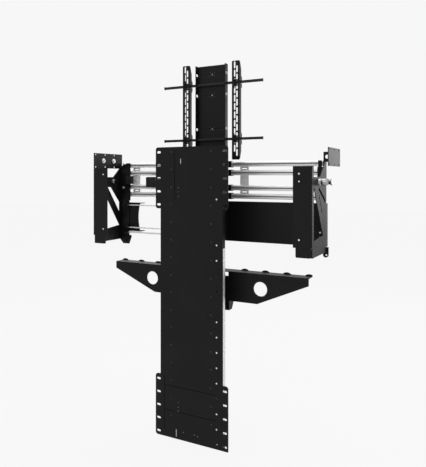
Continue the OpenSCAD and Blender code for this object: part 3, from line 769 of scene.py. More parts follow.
# Sub-assemblies. Levels, and the second number of an eyelet or a shim, are millimetres above the
# column's foot. Grooves, rods, knob rings and what goes through turning() are in millimetres too,
# and all else is in metres. A screw head's sizes are its radius, its height, the socket's width
# over flats and, where it isn't 24, the number of steps round it. A stud's are its radius, length
# and pitch.


@dataclass
class Column:
    """Fixed column: its screws, nuts, trims, end switches and the support arms' bolts, with a
    painted highlight strip and painted shade in the grooves.
    """

    screw_x: float = 0.085
    screw_row: Row = Row(1082.0, -66.5, 16)
    screw_head_y: float = 0.0022
    screw_stud_y: float = 0.0101
    screw_head: Sizes = (0.0045, 0.002, 0.0035)
    screw_stud: Sizes = (0.003, 0.0019, 0.0009)
    hole_x: float = 0.108
    hole_row: Row = Row(16.3, 55.6, 17)
    nut_places: tuple[int, ...] = (1, 2, 4, 5, 6, 7, 8, 12, 13, 16)
    side_nut: Pairs = turning(
        (0, 0.7), (1.1, 0.7), (1.4, 0), (3, 0), (3.3, 0.4), (3.3, 10), (2.2, 10.8), (0, 10.8)
    )
    eyelets: Pairs = (
        (-0.0529, 914.0), (-0.0529, 932.0), (-0.0529, 948.0),
        (-0.0529, 105.0), (-0.0529, 120.0), (-0.0529, 139.0),
        (-0.0308, 31.0), (0.0148, 31.8), (0.0297, 29.3),
    )
    eyelet: Pairs = turning(
        (0.9, 0.4), (1.2, 0), (1.6, 0), (1.9, 0.4), (1.9, 3.6), (0.9, 3.6), (0.9, 0.4)
    )
    # The strip's bright zinc on the right side flange is a painted highlight.
    strip_x: Sizes = (0.1319, 0.1325)
    strip_y: Sizes = (0.0046, 0.0196)
    strip_levels: Sizes = (40.0, 728.0)
    strip_row: Row = Row(58.0, 59.0, 12)
    shims: tuple[Point, ...] = ((-0.0434, 1047.0, 0.0115), (-0.0623, 22.0, 0.0165))
    grooves: tuple[Sizes, ...] = (
        (-70.0, -67.6, 904.0, 1085.0),
        (-115.0, -112.6, 30.0, 234.0),
        (-112.6, 105.0, 101.0, 103.4),
        (-112.6, 105.0, 194.5, 196.9),
    )
    groove_gap: float = 0.1
    cable_hole: tuple[float, float] = (0.2376, 0.100)
    cable_level: float = 574.0
    cable_ring: Pairs = turning(
        (26.4, 1.6), (27.2, 0.2), (28.8, 0.2), (28.9, 4.8), (27.6, 5.4), (26.6, 4.4), (26.4, 1.6)
    )
    switch_levels: Sizes = (392.0, 940.0)
    switch_screw: Sizes = (0.0024, 0.0014, 0.0018, 18)
    arm_x: float = 0.111
    arm_bolt_y: float = 0.120
    arm_bolt_levels: Sizes = (543.0, 605.0)
    arm_bolt_flats: float = 0.013
    arm_bolt_stud: Sizes = (0.0039, 0.0016, 0.0008)
    rack_x: float = -0.033
    rack_face_y: float = 0.1358
    rack_row: Row = Row(306.0, 71.5, 10)
    rack_screw: Pairs = turning(
        (0, 0), (3.2, 0), (3.2, 0.4), (2.9, 0.6), (1.3, 0.6), (1, 0.3), (0, 0.3)
    )
    web_x: float = 0.0929
    web_row: Row = Row(75.0, 80.0, 13)
    web_rivet_y: Sizes = (0.030, 0.078)
    web_rivet: Pairs = turning((0, 0), (3.8, 0), (3.6, 0.8), (2.2, 1.7), (0, 2))
    bracket_span: Sizes = (480.0, 640.0)
    weld_y: float = 0.1004
    weld_levels: Sizes = (498.0, 540.0, 582.0, 606.0)
    weld_bead: Pairs = turning((0, -1.2), (1.4, -0.6), (1.6, 0.4), (0, 1.2))

    def screws(self) -> None:
        """Low round screws with a hexagon socket, sunk in the plates."""
        shape = Shape()
        for level in self.screw_row:
            for x in (-self.screw_x, self.screw_x):
                head = (x, self.screw_head_y, level)
                shape.socket_screw(head, Axis.MINUS_Y, *self.screw_head)
                shape.thread((x, self.screw_stud_y, level), Axis.Y, *self.screw_stud)
        shape.piece("column_screw_heads", BLACKED, Body.COLUMN, ["column_screws"])

    def side_nuts(self) -> None:
        """Bright rivet nuts, flush in the row of holes down the right side."""
        shape = Shape()
        for place, level in enumerate(self.hole_row):
            if place in self.nut_places:
                shape.turned((self.hole_x, 0.0003, level), Axis.Y, self.side_nut, 24)
        shape.piece("side_rivet_nuts", BRIGHT_ZINC, Body.COLUMN)

    def face_eyelets(self) -> None:
        """Small eyelets in the wall plates' round holes."""
        shape = Shape()
        for x, level in self.eyelets:
            shape.turned((x, 0.0002, high(level)), Axis.Y, self.eyelet, 18)
        shape.piece("plate_eyelets", CUT_STEEL, Body.COLUMN)

    def edge_highlight_strip(self) -> None:
        """Bright strip on the column's right side as a painted highlight of the flange, with a row
        of rivets.
        """
        shape = Shape()
        low, top = zip(self.strip_x, self.strip_y, map(high, self.strip_levels))
        shape.block(low, top, 0.0002, 1)
        for level in self.strip_row:
            at = (self.strip_x[1], sum(self.strip_y) / 2, level)
            shape.rod(at, Axis.X, radius=0.0022, length=0.0006, rounding=0.0002, sides=18)
        shape.piece("column_edge_painted_highlight", BRIGHT_ZINC, Body.COLUMN)

    def slot_shims(self) -> None:
        """White shims that show in the two long narrow slots."""
        shape = Shape()
        for x, level, half in self.shims:
            reach = half - 0.002
            low = (x - 0.0018, 0.0008, high(level) - reach)
            shape.block(low, (x + 0.0018, 0.0036, high(level) + reach), 0.0004)
        shape.piece("slot_shims", NYLON, Body.COLUMN)

    def groove_shade_fills(self) -> None:
        """Near-black painted shade filling the pressed grooves of the wall plates."""
        shape = Shape()
        gap = self.groove_gap
        for left, right, low, top in self.grooves:
            shape.block(
                ((left + gap) * MM, 0.0014, high(low + gap)),
                ((right - gap) * MM, 0.0028, high(top - gap)),
                0.0002,
                1,
            )
        shape.piece("groove_painted_shade", GROOVE_SHADE, Body.COLUMN)

    def cable_rings(self) -> None:
        """Moulded edge rings in the support arms' cable holes."""
        shape = Shape()
        x, y = self.cable_hole
        shape.turned((x, y - 0.0002, high(self.cable_level)), Axis.Y, self.cable_ring, 64)
        shape.mirrored()
        shape.piece("cable_hole_rings", CAP_PLASTIC, Body.COLUMN)

    def switches(self) -> None:
        """Two end switches with a roller lever on the rack's carrier."""
        shape = Shape()
        for low in map(high, self.switch_levels):
            shape.block((-0.0575, 0.030, low), (-0.0428, 0.050, low + 0.032), 0.0012)
            shape.block((-0.0535, 0.0498, low + 0.004), (-0.0465, 0.0512, low + 0.028), 0.0003)
            lever = (-0.0545, 0.0545, low + 0.026)
            shape.rod(lever, Axis.X, radius=0.004, length=0.009, rounding=0.0006, sides=20)
            for step in (0.006, 0.026):
                at = (-0.0576, 0.036, low + step)
                shape.socket_screw(at, Axis.MINUS_X, *self.switch_screw)
        shape.piece("end_switches", CAP_PLASTIC, Body.COLUMN)

    def bracket_bolts(self) -> None:
        """Hexagon bolts that hold the support arms to their brackets."""
        shape = Shape()
        y = self.arm_bolt_y
        for z in map(high, self.arm_bolt_levels):
            shape.hex_bolt((self.arm_x + 0.003, y, z), Axis.X, self.arm_bolt_flats, 0.0062)
            shape.hex_bolt((self.arm_x - 0.003, y, z), Axis.MINUS_X, self.arm_bolt_flats, 0.0068)
            shape.thread((self.arm_x - 0.0095, y, z), Axis.MINUS_X, *self.arm_bolt_stud)
        shape.mirrored()
        shape.piece("support_arm_bolts", BLACKED, Body.COLUMN, ["support_bolts"])

    def rack_screws(self) -> None:
        """Flat screws that hold the rack to its spine, seen from the room."""
        shape = Shape()
        for level in self.rack_row:
            shape.turned((self.rack_x, self.rack_face_y, level), Axis.Y, self.rack_screw, 24)
        shape.piece("rack_screw_heads", BLACKED, Body.COLUMN)

    def lip_rivets(self) -> None:
        """Domed rivets down the outer web of each guide channel, clear of the brackets."""
        shape = Shape()
        low, top = map(high, self.bracket_span)
        for level in self.web_row:
            if low < level < top:
                continue
            for y in self.web_rivet_y:
                shape.turned((self.web_x, y, level), Axis.X, self.web_rivet, 20)
        shape.mirrored()
        shape.piece("channel_rivets", POWDER, Body.COLUMN)

    def welds(self) -> None:
        """Short beads between each bracket and its channel."""
        shape = Shape()
        for first in self.weld_levels:
            for level in Row(first, 1.6, 9):
                shape.turned((self.web_x, self.weld_y, level), Axis.Z, self.weld_bead, 10)
        shape.mirrored()
        shape.piece("bracket_welds", POWDER, Body.COLUMN)

    def build(self) -> None:
        """Build every piece."""
        self.screws()
        self.side_nuts()
        self.face_eyelets()
        self.edge_highlight_strip()
        self.slot_shims()
        self.groove_shade_fills()
        self.cable_rings()
        self.switches()
        self.bracket_bolts()
        self.rack_screws()
        self.lip_rivets()
        self.welds()


@dataclass
class Rollers:
    """Four guide rollers: crowned nylon tyres with recessed faces on their bearings."""

    centre_x: float = 0.080
    centre_y: float = 0.0805
    upper: float = 1065.0
    lower: float = 775.0
    tyre: Pairs = turning(
        (11.2, -6), (12.5, -7), (14.8, -7), (15.7, -5.9), (16, -4), (16, 4), (15.7, 5.9),
        (14.8, 7), (12.5, 7), (11.2, 6), (11.2, -6),
    )
    bearing: Pairs = turning(
        (5.05, -5.5), (6.8, -5.5), (7.1, -5), (9.4, -5), (9.7, -5.6), (11.1, -5.6), (11.1, 5.6),
        (9.7, 5.6), (9.4, 5), (7.1, 5), (6.8, 5.5), (5.05, 5.5), (5.05, -5.5),
    )

    def roller(self, node: str, body: Body, side: int, level: float) -> None:
        """One roller.

        Args:
            node: CAD node it stands for.
            body: Body it rides on.
            side: -1 for left, 1 for right.
            level: Height above the column's foot, in millimetres.
        """
        at = (side * self.centre_x, self.centre_y, high(level))
        tyre = Shape()
        tyre.turned(at, Axis.X, self.tyre)
        tyre.piece(f"{node}_tyre", NYLON, body, [node])
        bearing = Shape()
        bearing.turned(at, Axis.X, self.bearing)
        bearing.piece(f"{node}_bearing", CUT_STEEL, body)

    def build(self) -> None:
        """Build the four rollers."""
        self.roller("roller_upper_left", Body.UPPER_LEFT, -1, self.upper)
        self.roller("roller_upper_right", Body.UPPER_RIGHT, 1, self.upper)
        self.roller("roller_lower_left", Body.LOWER_LEFT, -1, self.lower)
        self.roller("roller_lower_right", Body.LOWER_RIGHT, 1, self.lower)


@dataclass
class Drive:
    """Gearmotor across the mast: tube, end cover and gearbox screws."""

    axis_y: float = 0.1685
    axis_level: float = 966.0
    near: float = -0.072
    far: float = -0.266
    box_far: float = -0.306
    tube: Pairs = turning(
        (0, 0), (15.8, 0), (17, 1.2), (17, 18), (16.2, 18.8), (16.2, 21.2), (17, 22), (17, 146),
        (15.4, 148), (15.4, 154), (17, 156), (17, 193), (16, 194), (8, 194), (8, 234), (0, 234),
    )
    flange_corners: Pairs = (
        (-0.010, -0.013), (-0.010, 0.013), (0.0065, -0.013), (0.0065, 0.013),
    )
    cover_corners: Pairs = ((-0.011, -0.016), (-0.011, 0.016), (0.010, -0.016), (0.010, 0.016))
    flange_screw: Sizes = (0.0028, 0.0022, 0.0025, 18)
    cover_screw: Sizes = (0.0024, 0.0014, 0.002, 18)
    rib_count: int = 6
    rib_pitch: float = 0.0055
    gearbox_face: float = 0.1462
    gearbox_levels: Sizes = (908.0, 992.0)
    pinion_level: float = 937.0
    gearbox_screw: Sizes = (0.0038, 0.003, 0.0035)
    bearing_cap: Pairs = turning(
        (15.5, 0), (18.8, 0), (18.8, 0.8), (17.8, 1.6), (16.2, 1.6), (15.5, 0)
    )

    def motor(self) -> None:
        """Motor tube with crimped rings, and a flange with its screws."""
        shape = Shape()
        level = high(self.axis_level)
        shape.turned((self.far, self.axis_y, level), Axis.X, self.tube, 56)
        shape.block(
            (self.near - 0.0002, self.axis_y - 0.015, level - 0.018),
            (-0.0676, self.axis_y + 0.011, level + 0.018),
            0.0012,
        )
        for dy, dz in self.flange_corners:
            at = (self.near - 0.0001, self.axis_y + dy, level + dz)
            shape.socket_screw(at, Axis.MINUS_X, *self.flange_screw)
        shape.piece("gearmotor_tube", MOTOR_PAINT, Body.MAST, ["drive_motor"])

    def end_cover(self) -> None:
        """Plastic end cover with cooling ribs above and below, and its screws."""
        shape = Shape()
        level = high(self.axis_level)
        low_y = self.axis_y - 0.0165
        top_y = self.axis_y + 0.0155
        shape.block(
            (self.box_far, low_y, level - 0.021), (self.far, top_y, level + 0.021), 0.003, 3
        )
        for rib in range(self.rib_count):
            left = self.box_far + 0.006 + rib * self.rib_pitch
            for low, top in ((0.0205, 0.0218), (-0.0218, -0.0205)):
                shape.block(
                    (left, low_y + 0.004, level + low),
                    (left + 0.0022, top_y - 0.004, level + top),
                    0.0004,
                )
        for dy, dz in self.cover_corners:
            at = (self.box_far - 0.0001, self.axis_y + dy, level + dz)
            shape.socket_screw(at, Axis.MINUS_X, *self.cover_screw)
        shape.piece("gearmotor_end_cover", CAP_PLASTIC, Body.MAST, ["motor_end_housing"])

    def gearbox_trim(self) -> None:
        """Cover screws and a bearing cap on the gearbox."""
        shape = Shape()
        for x in (-0.024, 0.024):
            for level in map(high, self.gearbox_levels):
                at = (x, self.gearbox_face, level)
                shape.socket_screw(at, Axis.MINUS_Y, *self.gearbox_screw)
        cap = (0.0, self.gearbox_face - 0.0016, high(self.pinion_level))
        shape.turned(cap, Axis.MINUS_Y, self.bearing_cap)
        shape.piece("gearbox_screws", ZINC, Body.MAST)

    def build(self) -> None:
        """Build every piece."""
        self.motor()
        self.end_cover()
        self.gearbox_trim()


@dataclass
class TvBracket:
    """Cross bars with plugs, their keepers, and the nuts and caps on the mast."""

    bar_half: float = 0.221
    bar_size: float = 0.010
    bar_near: float = 0.165
    bar_levels: Sizes = (1358.0, 1137.0)
    arm_x: float = 0.111
    web_y: float = 0.177
    back_y: float = 0.180
    nut_levels: Sizes = (1180.0, 1316.0, 1399.0)
    corners: Pairs = ((-0.009, -0.007), (0.009, -0.007), (-0.009, 0.007), (0.009, 0.007))
    clinch_nut: Pairs = turning((1.4, 0), (3.2, 0), (3.2, 0.7), (2.6, 1.3), (1.4, 1.3), (1.4, 0))
    rivet: Pairs = turning((0, 0), (2.6, 0), (2.4, 0.8), (1.4, 1.3), (0, 1.4))
    tail: Pairs = turning((0, 0), (2.7, 0), (2.7, 0.6), (1.9, 1.2), (0, 1.2))

    def web_nuts(self) -> None:
        """Groups of one bright clinch nut and four dark rivets on the mast's web."""
        bright = Shape()
        dark = Shape()
        for z in map(high, self.nut_levels):
            bright.turned((0.0, self.web_y, z), Axis.MINUS_Y, self.clinch_nut, 28)
            for dx, dz in self.corners:
                dark.turned((dx, self.web_y, z + dz), Axis.MINUS_Y, self.rivet, 20)
            for dx, dz in ((0.0, 0.0), *self.corners):
                bright.turned((dx, self.back_y, z + dz), Axis.Y, self.tail, 20)
        bright.piece("mast_clinch_nuts", CUT_STEEL, Body.MAST)
        dark.piece("mast_rivets", BLACKED, Body.MAST)

    def hole_caps(self) -> None:
        """White caps in the side holes of the mast's right flange."""
        shape = Shape()
        for level in map(high, self.nut_levels):
            for y in (0.166, 0.172):
                at = (0.0647, y, level)
                shape.rod(at, Axis.X, radius=0.0058, length=0.0026, rounding=0.0004, sides=28)
        shape.piece("mast_hole_caps", NYLON, Body.MAST)

    def bars(self) -> None:
        """Rounded square bars with moulded end plugs."""
        inner = self.bar_half - 0.004
        far = self.bar_near + self.bar_size
        for name, level in zip(("crossbar_upper", "crossbar_lower"), self.bar_levels):
            low = high(level) - self.bar_size / 2
            top = low + self.bar_size
            shape = Shape()
            shape.block((-inner, self.bar_near, low), (inner, far, top), 0.0016, 3)
            shape.piece(f"{name}_tube", BAR_COAT, Body.MAST, [name])
            plugs = Shape()
            start = (inner - 0.0002, self.bar_near - 0.001, low - 0.001)
            plugs.block(start, (self.bar_half, far + 0.001, top + 0.001), 0.0022, 3)
            plugs.mirrored()
            plugs.piece(f"{name}_plugs", CAP_PLASTIC, Body.MAST)

    def keepers(self) -> None:
        """Pressed keeper plates with hexagon screws behind the bars."""
        shape = Shape()
        near = self.bar_near + self.bar_size
        face = near + 0.003
        for z in map(high, self.bar_levels):
            low = (self.arm_x - 0.0145, near, z - 0.014)
            shape.block(low, (self.arm_x + 0.0145, face, z + 0.014), 0.0006)
            shape.hex_bolt((self.arm_x, face, z + 0.008), Axis.Y, 0.0078, 0.0039)
        shape.mirrored()
        shape.piece("bar_keeper_plates", ZINC, Body.MAST, ["bar_keepers"])

    def build(self) -> None:
        """Build every piece."""
        self.web_nuts()
        self.hole_caps()
        self.bars()
        self.keepers()


@dataclass
class CrossFrame:
    """Rails with caps and strips, tie plates' fixings, guide rods and the cover panel's trim."""

    rail_half: float = 0.448
    rail_y: float = 0.186
    rail_depth: float = 0.020
    rail_height: float = 0.021
    rail_levels: Sizes = (1038.0, 1004.0, 944.5, 912.0)
    rail_start: float = 0.0680
    groove_half: float = 0.0024
    groove_depth: float = 0.0042
    collar_x: Sizes = (0.057, 0.073)
    collar_screw: Sizes = (0.0042, 0.0022, 0.003)
    tie_x: Sizes = (0.128, 0.390)
    tie_screw: Sizes = (0.0048, 0.0030, 0.004)
    tie_plug: Pairs = turning(
        (0, 0), (8.8, 0), (9.2, 0.4), (9.2, 0.7), (7.9, 0.8), (7.9, 3.4), (0, 3.4)
    )
    rim_radii: Sizes = (0.0036, 0.0022)
    rim_half: float = 0.0099
    rods: Pairs = ((865.0, 2.5), (768.0, 2.5), (747.0, 4.0))
    rod_end: float = 0.418
    rod_y: float = 0.176
    panel: Point = (-0.0655, 0.461, 0.204)
    panel_low: float = 734.0
    panel_high: float = 891.0
    panel_back: float = 0.1879
    panel_rivet: Pairs = turning((0, 0), (3.2, 0), (3, 0.8), (1.8, 1.5), (0, 1.7))

    def rail_outline(self) -> list[tuple[float, float]]:
        """Rounded section of a rail with a groove in its near and far faces."""
        half_d = self.rail_depth / 2 - 0.0001
        half_h = self.rail_height / 2 - 0.0001
        corner = []
        for step in range(9):
            turn = math.radians(90 * step / 8)
            reach = (math.cos(turn) ** 3 + math.sin(turn) ** 3) ** (-1 / 3)
            corner.append((half_d * reach * math.cos(turn), half_h * reach * math.sin(turn)))
        first = corner[0][0]
        floor = first - self.groove_depth
        groove = [(floor, 0.0), (floor, self.groove_half), (first - 0.0003, self.groove_half)]
        corner = groove + [point for point in corner if point[1] > self.groove_half]
        upper = corner + [(-x, z) for x, z in reversed(corner)][1:]
        lower = [(-x, -z) for x, z in upper][1:-1]
        return upper + lower

    def rails(self) -> None:
        """Four drawn rails."""
        outline = self.rail_outline()
        turn = Matrix(((0, 0, 1, 0), (1, 0, 0, 0), (0, 1, 0, 0), (0, 0, 0, 1)))
        for name, level in zip("abcd", self.rail_levels):
            shape = Shape()
            start = (-self.rail_half, self.rail_y + self.rail_depth / 2, high(level))
            shape.plate(outline, Matrix.Translation(start) @ turn, 2 * self.rail_half)
            shape.piece(f"drawn_rail_{name}", ALUMINIUM, Body.MAST, [f"rail_{name}"], 40.0)

    def slot_rims(self) -> None:
        """Dark moulded rims in the tie plates' long slots."""
        shape = Shape()
        rail_a, rail_b, rail_c, rail_d = self.rail_levels
        for x in self.tie_x:
            for middle in ((rail_a + rail_b) / 2, (rail_c + rail_d) / 2):
                self.slot_rim(shape, x, high(middle))
        shape.mirrored()
        shape.piece("tie_slot_rims", CAP_PLASTIC, Body.MAST)

    def slot_rim(self, shape: Shape, x: float, z: float) -> None:
        """One long rim.

        Args:
            shape: Mesh that it is added to.
            x: Middle of the slot.
            z: Middle of the slot.
        """
        ring = bmesh.new()
        turns = [math.tau * (step + 0.5) / 24 for step in range(24)]
        for radius in self.rim_radii:
            made = []
            for turn in turns:
                end = math.copysign(self.rim_half, math.cos(turn))
                at = (end + radius * math.cos(turn), radius * math.sin(turn), 0)
                made.append(ring.verts.new(at))
            for pair in zip(made, made[1:] + made[:1]):
                ring.edges.new(pair)
        bmesh.ops.bridge_loops(ring, edges=ring.edges[:])
        grown = bmesh.ops.extrude_face_region(ring, geom=ring.faces[:])
        top = [item for item in grown["geom"] if isinstance(item, bmesh.types.BMVert)]
        bmesh.ops.translate(ring, vec=(0, 0, 0.0034), verts=top)
        bmesh.ops.recalc_face_normals(ring, faces=ring.faces)
        place = Matrix.Translation((x, self.rail_y + self.rail_depth - 0.0006, z))
        place = place @ Matrix.Rotation(math.radians(-90), 4, "X")
        bmesh.ops.transform(ring, matrix=place, verts=ring.verts)
        shape.absorb(ring)

    def rail_caps(self) -> None:
        """Moulded caps in the ends of the four rails."""
        shape = Shape()
        half = self.rail_height / 2 - 0.0002
        far_y = self.rail_y + self.rail_depth - 0.0002
        for z in map(high, self.rail_levels):
            low = (self.rail_half - 0.0002, self.rail_y + 0.0002, z - half)
            shape.block(low, (self.rail_half + 0.0026, far_y, z + half), 0.0010, 2)
        shape.mirrored()
        shape.piece("rail_end_caps", CAP_PLASTIC, Body.MAST)

    def clamp_screws(self) -> None:
        """Set screws in the room side of each rail collar."""
        shape = Shape()
        for level in map(high, self.rail_levels):
            for x in self.collar_x:
                at = (x, self.rail_y + 0.0220, level)
                shape.socket_screw(at, Axis.Y, *self.collar_screw)
        shape.mirrored()
        shape.piece("rail_collar_screws", ZINC, Body.MAST)

    def tie_fixings(self) -> None:
        """Screws that hold the tie plates to the rails' grooves."""
        shape = Shape()
        for x in self.tie_x:
            for level in map(high, self.rail_levels):
                at = (x, self.rail_y + self.rail_depth + 0.003, level)
                shape.socket_screw(at, Axis.Y, *self.tie_screw)
        shape.mirrored()
        shape.piece("tie_plate_screws", ZINC, Body.MAST)

    def tie_plugs(self) -> None:
        """Pressed plugs that close the tie plates' round holes."""
        shape = Shape()
        middle = (self.rail_levels[1] + self.rail_levels[2]) / 2 - 3
        for x in self.tie_x:
            at = (x, self.rail_y + self.rail_depth - 0.0008, high(middle))
            shape.turned(at, Axis.Y, self.tie_plug, 40)
        shape.mirrored()
        shape.piece("tie_plate_plugs", SATIN, Body.MAST)

    def groove_strips(self) -> None:
        """Grey strips pressed into the wall-side grooves of the rails."""
        shape = Shape()
        near, far = self.rail_y + 0.0016, self.rail_y + 0.0038
        for z in map(high, self.rail_levels):
            low = (self.rail_start, near, z - 0.0021)
            shape.block(low, (self.rail_half - 0.002, far, z + 0.0021), 0.0004)
        shape.mirrored()
        shape.piece("rail_groove_strips", STRIP_PLASTIC, Body.MAST)

    def guide_rods(self) -> None:
        """Bright rods, with end blocks and nuts at their outer ends."""
        shape = Shape()
        ends = Shape()
        left, right = -self.rod_end - 0.006, -self.rod_end + 0.006
        for level, radius in self.rods:
            z = high(level)
            start = (-self.rod_end, self.rod_y, z)
            length = self.rod_end - 0.0675
            shape.rod(start, Axis.X, radius * MM, length, rounding=0.0004, sides=28)
            low = (left, self.rod_y - 0.005, z - 0.006)
            ends.block(low, (right, self.rod_y + 0.007, z + 0.006), 0.0008)
            ends.hex_bolt((right, self.rod_y, z), Axis.X, 0.0095, 0.004)
            ends.hex_bolt((left, self.rod_y, z), Axis.MINUS_X, 0.0095, 0.004)
        shape.piece("guide_rod_set", ALUMINIUM, Body.MAST, ["guide_rods"])
        ends.piece("guide_rod_ends", BLACKED, Body.MAST)

    def panel_trim(self) -> None:
        """Rolled lips, end rivets and stiffening ribs on the back of the cover panel."""
        shape = Shape()
        left, right, far = self.panel
        low, top = high(self.panel_low + 6), high(self.panel_high - 6)
        for level in (self.panel_low + 1.3, self.panel_high - 1.3):
            at = (left + 0.001, far - 0.0014, high(level))
            length = right - left - 0.002
            shape.rod(at, Axis.X, radius=0.0013, length=length, rounding=0.0003, sides=16)
        for x in (0.0, 0.1, 0.2, 0.3, 0.4):
            shape.block((x - 0.006, self.panel_back, low), (x + 0.006, 0.1896, top), 0.0007)
        shape.piece("panel_ribs_and_lips", POWDER, Body.MAST)
        rivets = Shape()
        for x in (0.05, 0.15, 0.25, 0.35, 0.44):
            for level in (self.panel_low + 9, self.panel_high - 9):
                rivets.turned((x, self.panel_back, high(level)), Axis.Y, self.panel_rivet, 20)
        rivets.piece("panel_rivets", BLACKED, Body.MAST)

    def build(self) -> None:
        """Build every piece."""
        self.panel_trim()
        self.rails()
        self.slot_rims()
        self.rail_caps()
        self.clamp_screws()
        self.tie_fixings()
        self.tie_plugs()
        self.groove_strips()
        self.guide_rods()


@dataclass
class EndFrames:
    """Screws, nuts and welds of the end frames, and the two pull plungers."""

    frame_out: float = 0.461
    ring_y: Sizes = (0.065, 0.133)
    ring_level: float = 1056.0
    foot_levels: Sizes = (767.0, 785.0)
    button_level: float = 705.0
    nut_levels: Sizes = (998.0, 775.0)
    washer: Pairs = turning((0, 0), (10, 0), (10, 1.4), (9.4, 2), (0, 2))
    ring_screw: Sizes = (0.0062, 0.0048, 0.005)
    foot_screw: Sizes = (0.0035, 0.0028, 0.0025)
    post_screw: Sizes = (0.0038, 0.0048, 0.003)
    bright_post_levels: Sizes = (941.0,)
    dark_post_levels: Sizes = (974.0, 1007.0)
    post_nut: Pairs = turning(
        (0, 0.8), (1, 0.8), (1.3, 0), (3.1, 0), (3.3, 0.3), (3.3, 9), (0, 9)
    )
    nut_seat: Pairs = turning(
        (3.2, 0.8), (3.6, 0.3), (4.1, 0.3), (4.4, 0.7), (4.4, 8), (3.2, 8), (3.2, 0.8)
    )
    rear_foot_welds: Pairs = ((-0.4605, -0.4145), (0.4495, 0.4605))
    plunger_y: Sizes = (0.125, 0.082)
    plunger_level: float = 970.0
    knob_outline: Pairs = turning(
        (0, 0), (10, 0), (11.2, 0.4), (12, 1.6), (12, 4), (11.4, 4.4), (11.4, 5), (12, 5.4),
        (12, 21), (11.2, 22.6), (8.6, 25.2), (8, 26.8), (8.2, 28.8), (10.4, 32.6), (11.8, 34.6),
        (12, 36), (11.6, 37.4), (10.4, 38), (4, 38), (3.4, 37.4), (0, 37.4),
    )
    knob_rings: Pairs = ((0.8, 11.8), (4.7, 11.8), (26.8, 8.4))
    knob_washer: Pairs = turning(
        (11.1, 0), (13.4, 0), (13.4, 1), (13.1, 1.3), (11.1, 1.3), (11.1, 0)
    )

    def bolts(self) -> None:
        """Washers and socket screws of the end frames."""
        shape = Shape()
        z = high(self.ring_level)
        for y in self.ring_y:
            shape.turned((-self.frame_out, y, z), Axis.X, self.washer)
            shape.socket_screw((-self.frame_out + 0.002, y, z), Axis.X, *self.ring_screw)
        for level in map(high, self.foot_levels):
            at = (self.frame_out - 0.022, 0.183, level)
            shape.socket_screw(at, Axis.MINUS_Y, *self.foot_screw)
        self.post_bolts(shape, self.bright_post_levels)
        at = (self.frame_out + 0.002, 0.1792, high(self.button_level))
        shape.rod(at, Axis.MINUS_Y, radius=0.0036, length=0.0012, rounding=0.0003, sides=24)
        shape.piece("end_frame_screws", BRIGHT_ZINC, Body.MAST, ["frame_bolts"])
        dark = Shape()
        self.post_bolts(dark, self.dark_post_levels)
        dark.piece("left_post_screws", BLACKED, Body.MAST)

    def post_bolts(self, shape: Shape, levels: Sequence[float]) -> None:
        """Washers and socket screws on the left rear post.

        Args:
            shape: Mesh that they are added to.
            levels: Heights above the column's foot, in millimetres.
        """
        x = -self.frame_out + 0.019
        for z in map(high, levels):
            at = (x, 0.180, z)
            shape.rod(at, Axis.MINUS_Y, radius=0.0055, length=0.0018, rounding=0.0004)
            shape.socket_screw((x, 0.1782, z), Axis.MINUS_Y, *self.post_screw)

    def post_nuts(self) -> None:
        """Bright rivet nuts in the front posts, on dark seats."""
        shape = Shape()
        seats = Shape()
        for level in map(high, self.nut_levels):
            at = (self.frame_out - 0.046, 0.0062, level)
            shape.turned(at, Axis.Y, self.post_nut, 28)
            seats.turned(at, Axis.Y, self.nut_seat, 28)
        shape.mirrored()
        shape.piece("post_rivet_nuts", BRIGHT_ZINC, Body.MAST)
        seats.mirrored()
        seats.piece("post_nut_seats", RUBBER, Body.MAST)

    def foot_welds(self) -> None:
        """Weld beads at the front posts' feet and above the rear feet."""
        shape = Shape()
        low = (self.frame_out - 0.0043, 0.0062, high(716))
        shape.block(low, (self.frame_out - 0.0020, 0.0094, high(747)), 0.0008)
        shape.mirrored()
        for left, right in self.rear_foot_welds:
            shape.block((left, 0.1833, high(732)), (right, 0.1857, high(736.5)), 0.0006)
        shape.piece("post_foot_welds", POWDER, Body.MAST)

    def knob(self, side: int, body: Body) -> None:
        """A turned pull knob with its pin, grip rings and washer.

        Args:
            side: -1 for left, 1 for right.
            body: Body it rides on.
        """
        name, y = ("left", self.plunger_y[0]) if side < 0 else ("right", self.plunger_y[1])
        axis = Axis.X if side > 0 else Axis.MINUS_X
        start = self.frame_out - 0.003 - 0.009
        seat = self.frame_out - 0.003 + 0.0133
        level = high(self.plunger_level)
        shape = Shape()
        length = seat - start + 0.002
        shape.rod((side * start, y, level), axis, radius=0.005, length=length, rounding=0.0008)
        shape.turned((side * seat, y, level), axis, self.knob_outline, 56)
        shape.piece(f"pull_knob_{name}", POLISHED, body, [f"plunger_knob_{name}"])
        rings = Shape()
        for height, rad in self.knob_rings:
            low, waist = rad - 0.8, rad - 0.2
            section = turning(
                (low, -0.5), (waist, -0.7), (rad, 0), (waist, 0.7), (low, 0.5), (low, -0.5)
            )
            rings.turned((side * (seat + height * MM), y, level), axis, section)
        rings.piece(f"pull_knob_rings_{name}", RUBBER, body)
        washer = Shape()
        washer.turned((side * self.frame_out, y, level), axis, self.knob_washer, 48)
        washer.piece(f"plunger_washer_{name}", RUBBER, Body.MAST)

    def build(self) -> None:
        """Build every piece."""
        self.bolts()
        self.post_nuts()
        self.foot_welds()
        self.knob(-1, Body.LEFT_PLUNGER)
        self.knob(1, Body.RIGHT_PLUNGER)


# Dressing of the CAD nodes


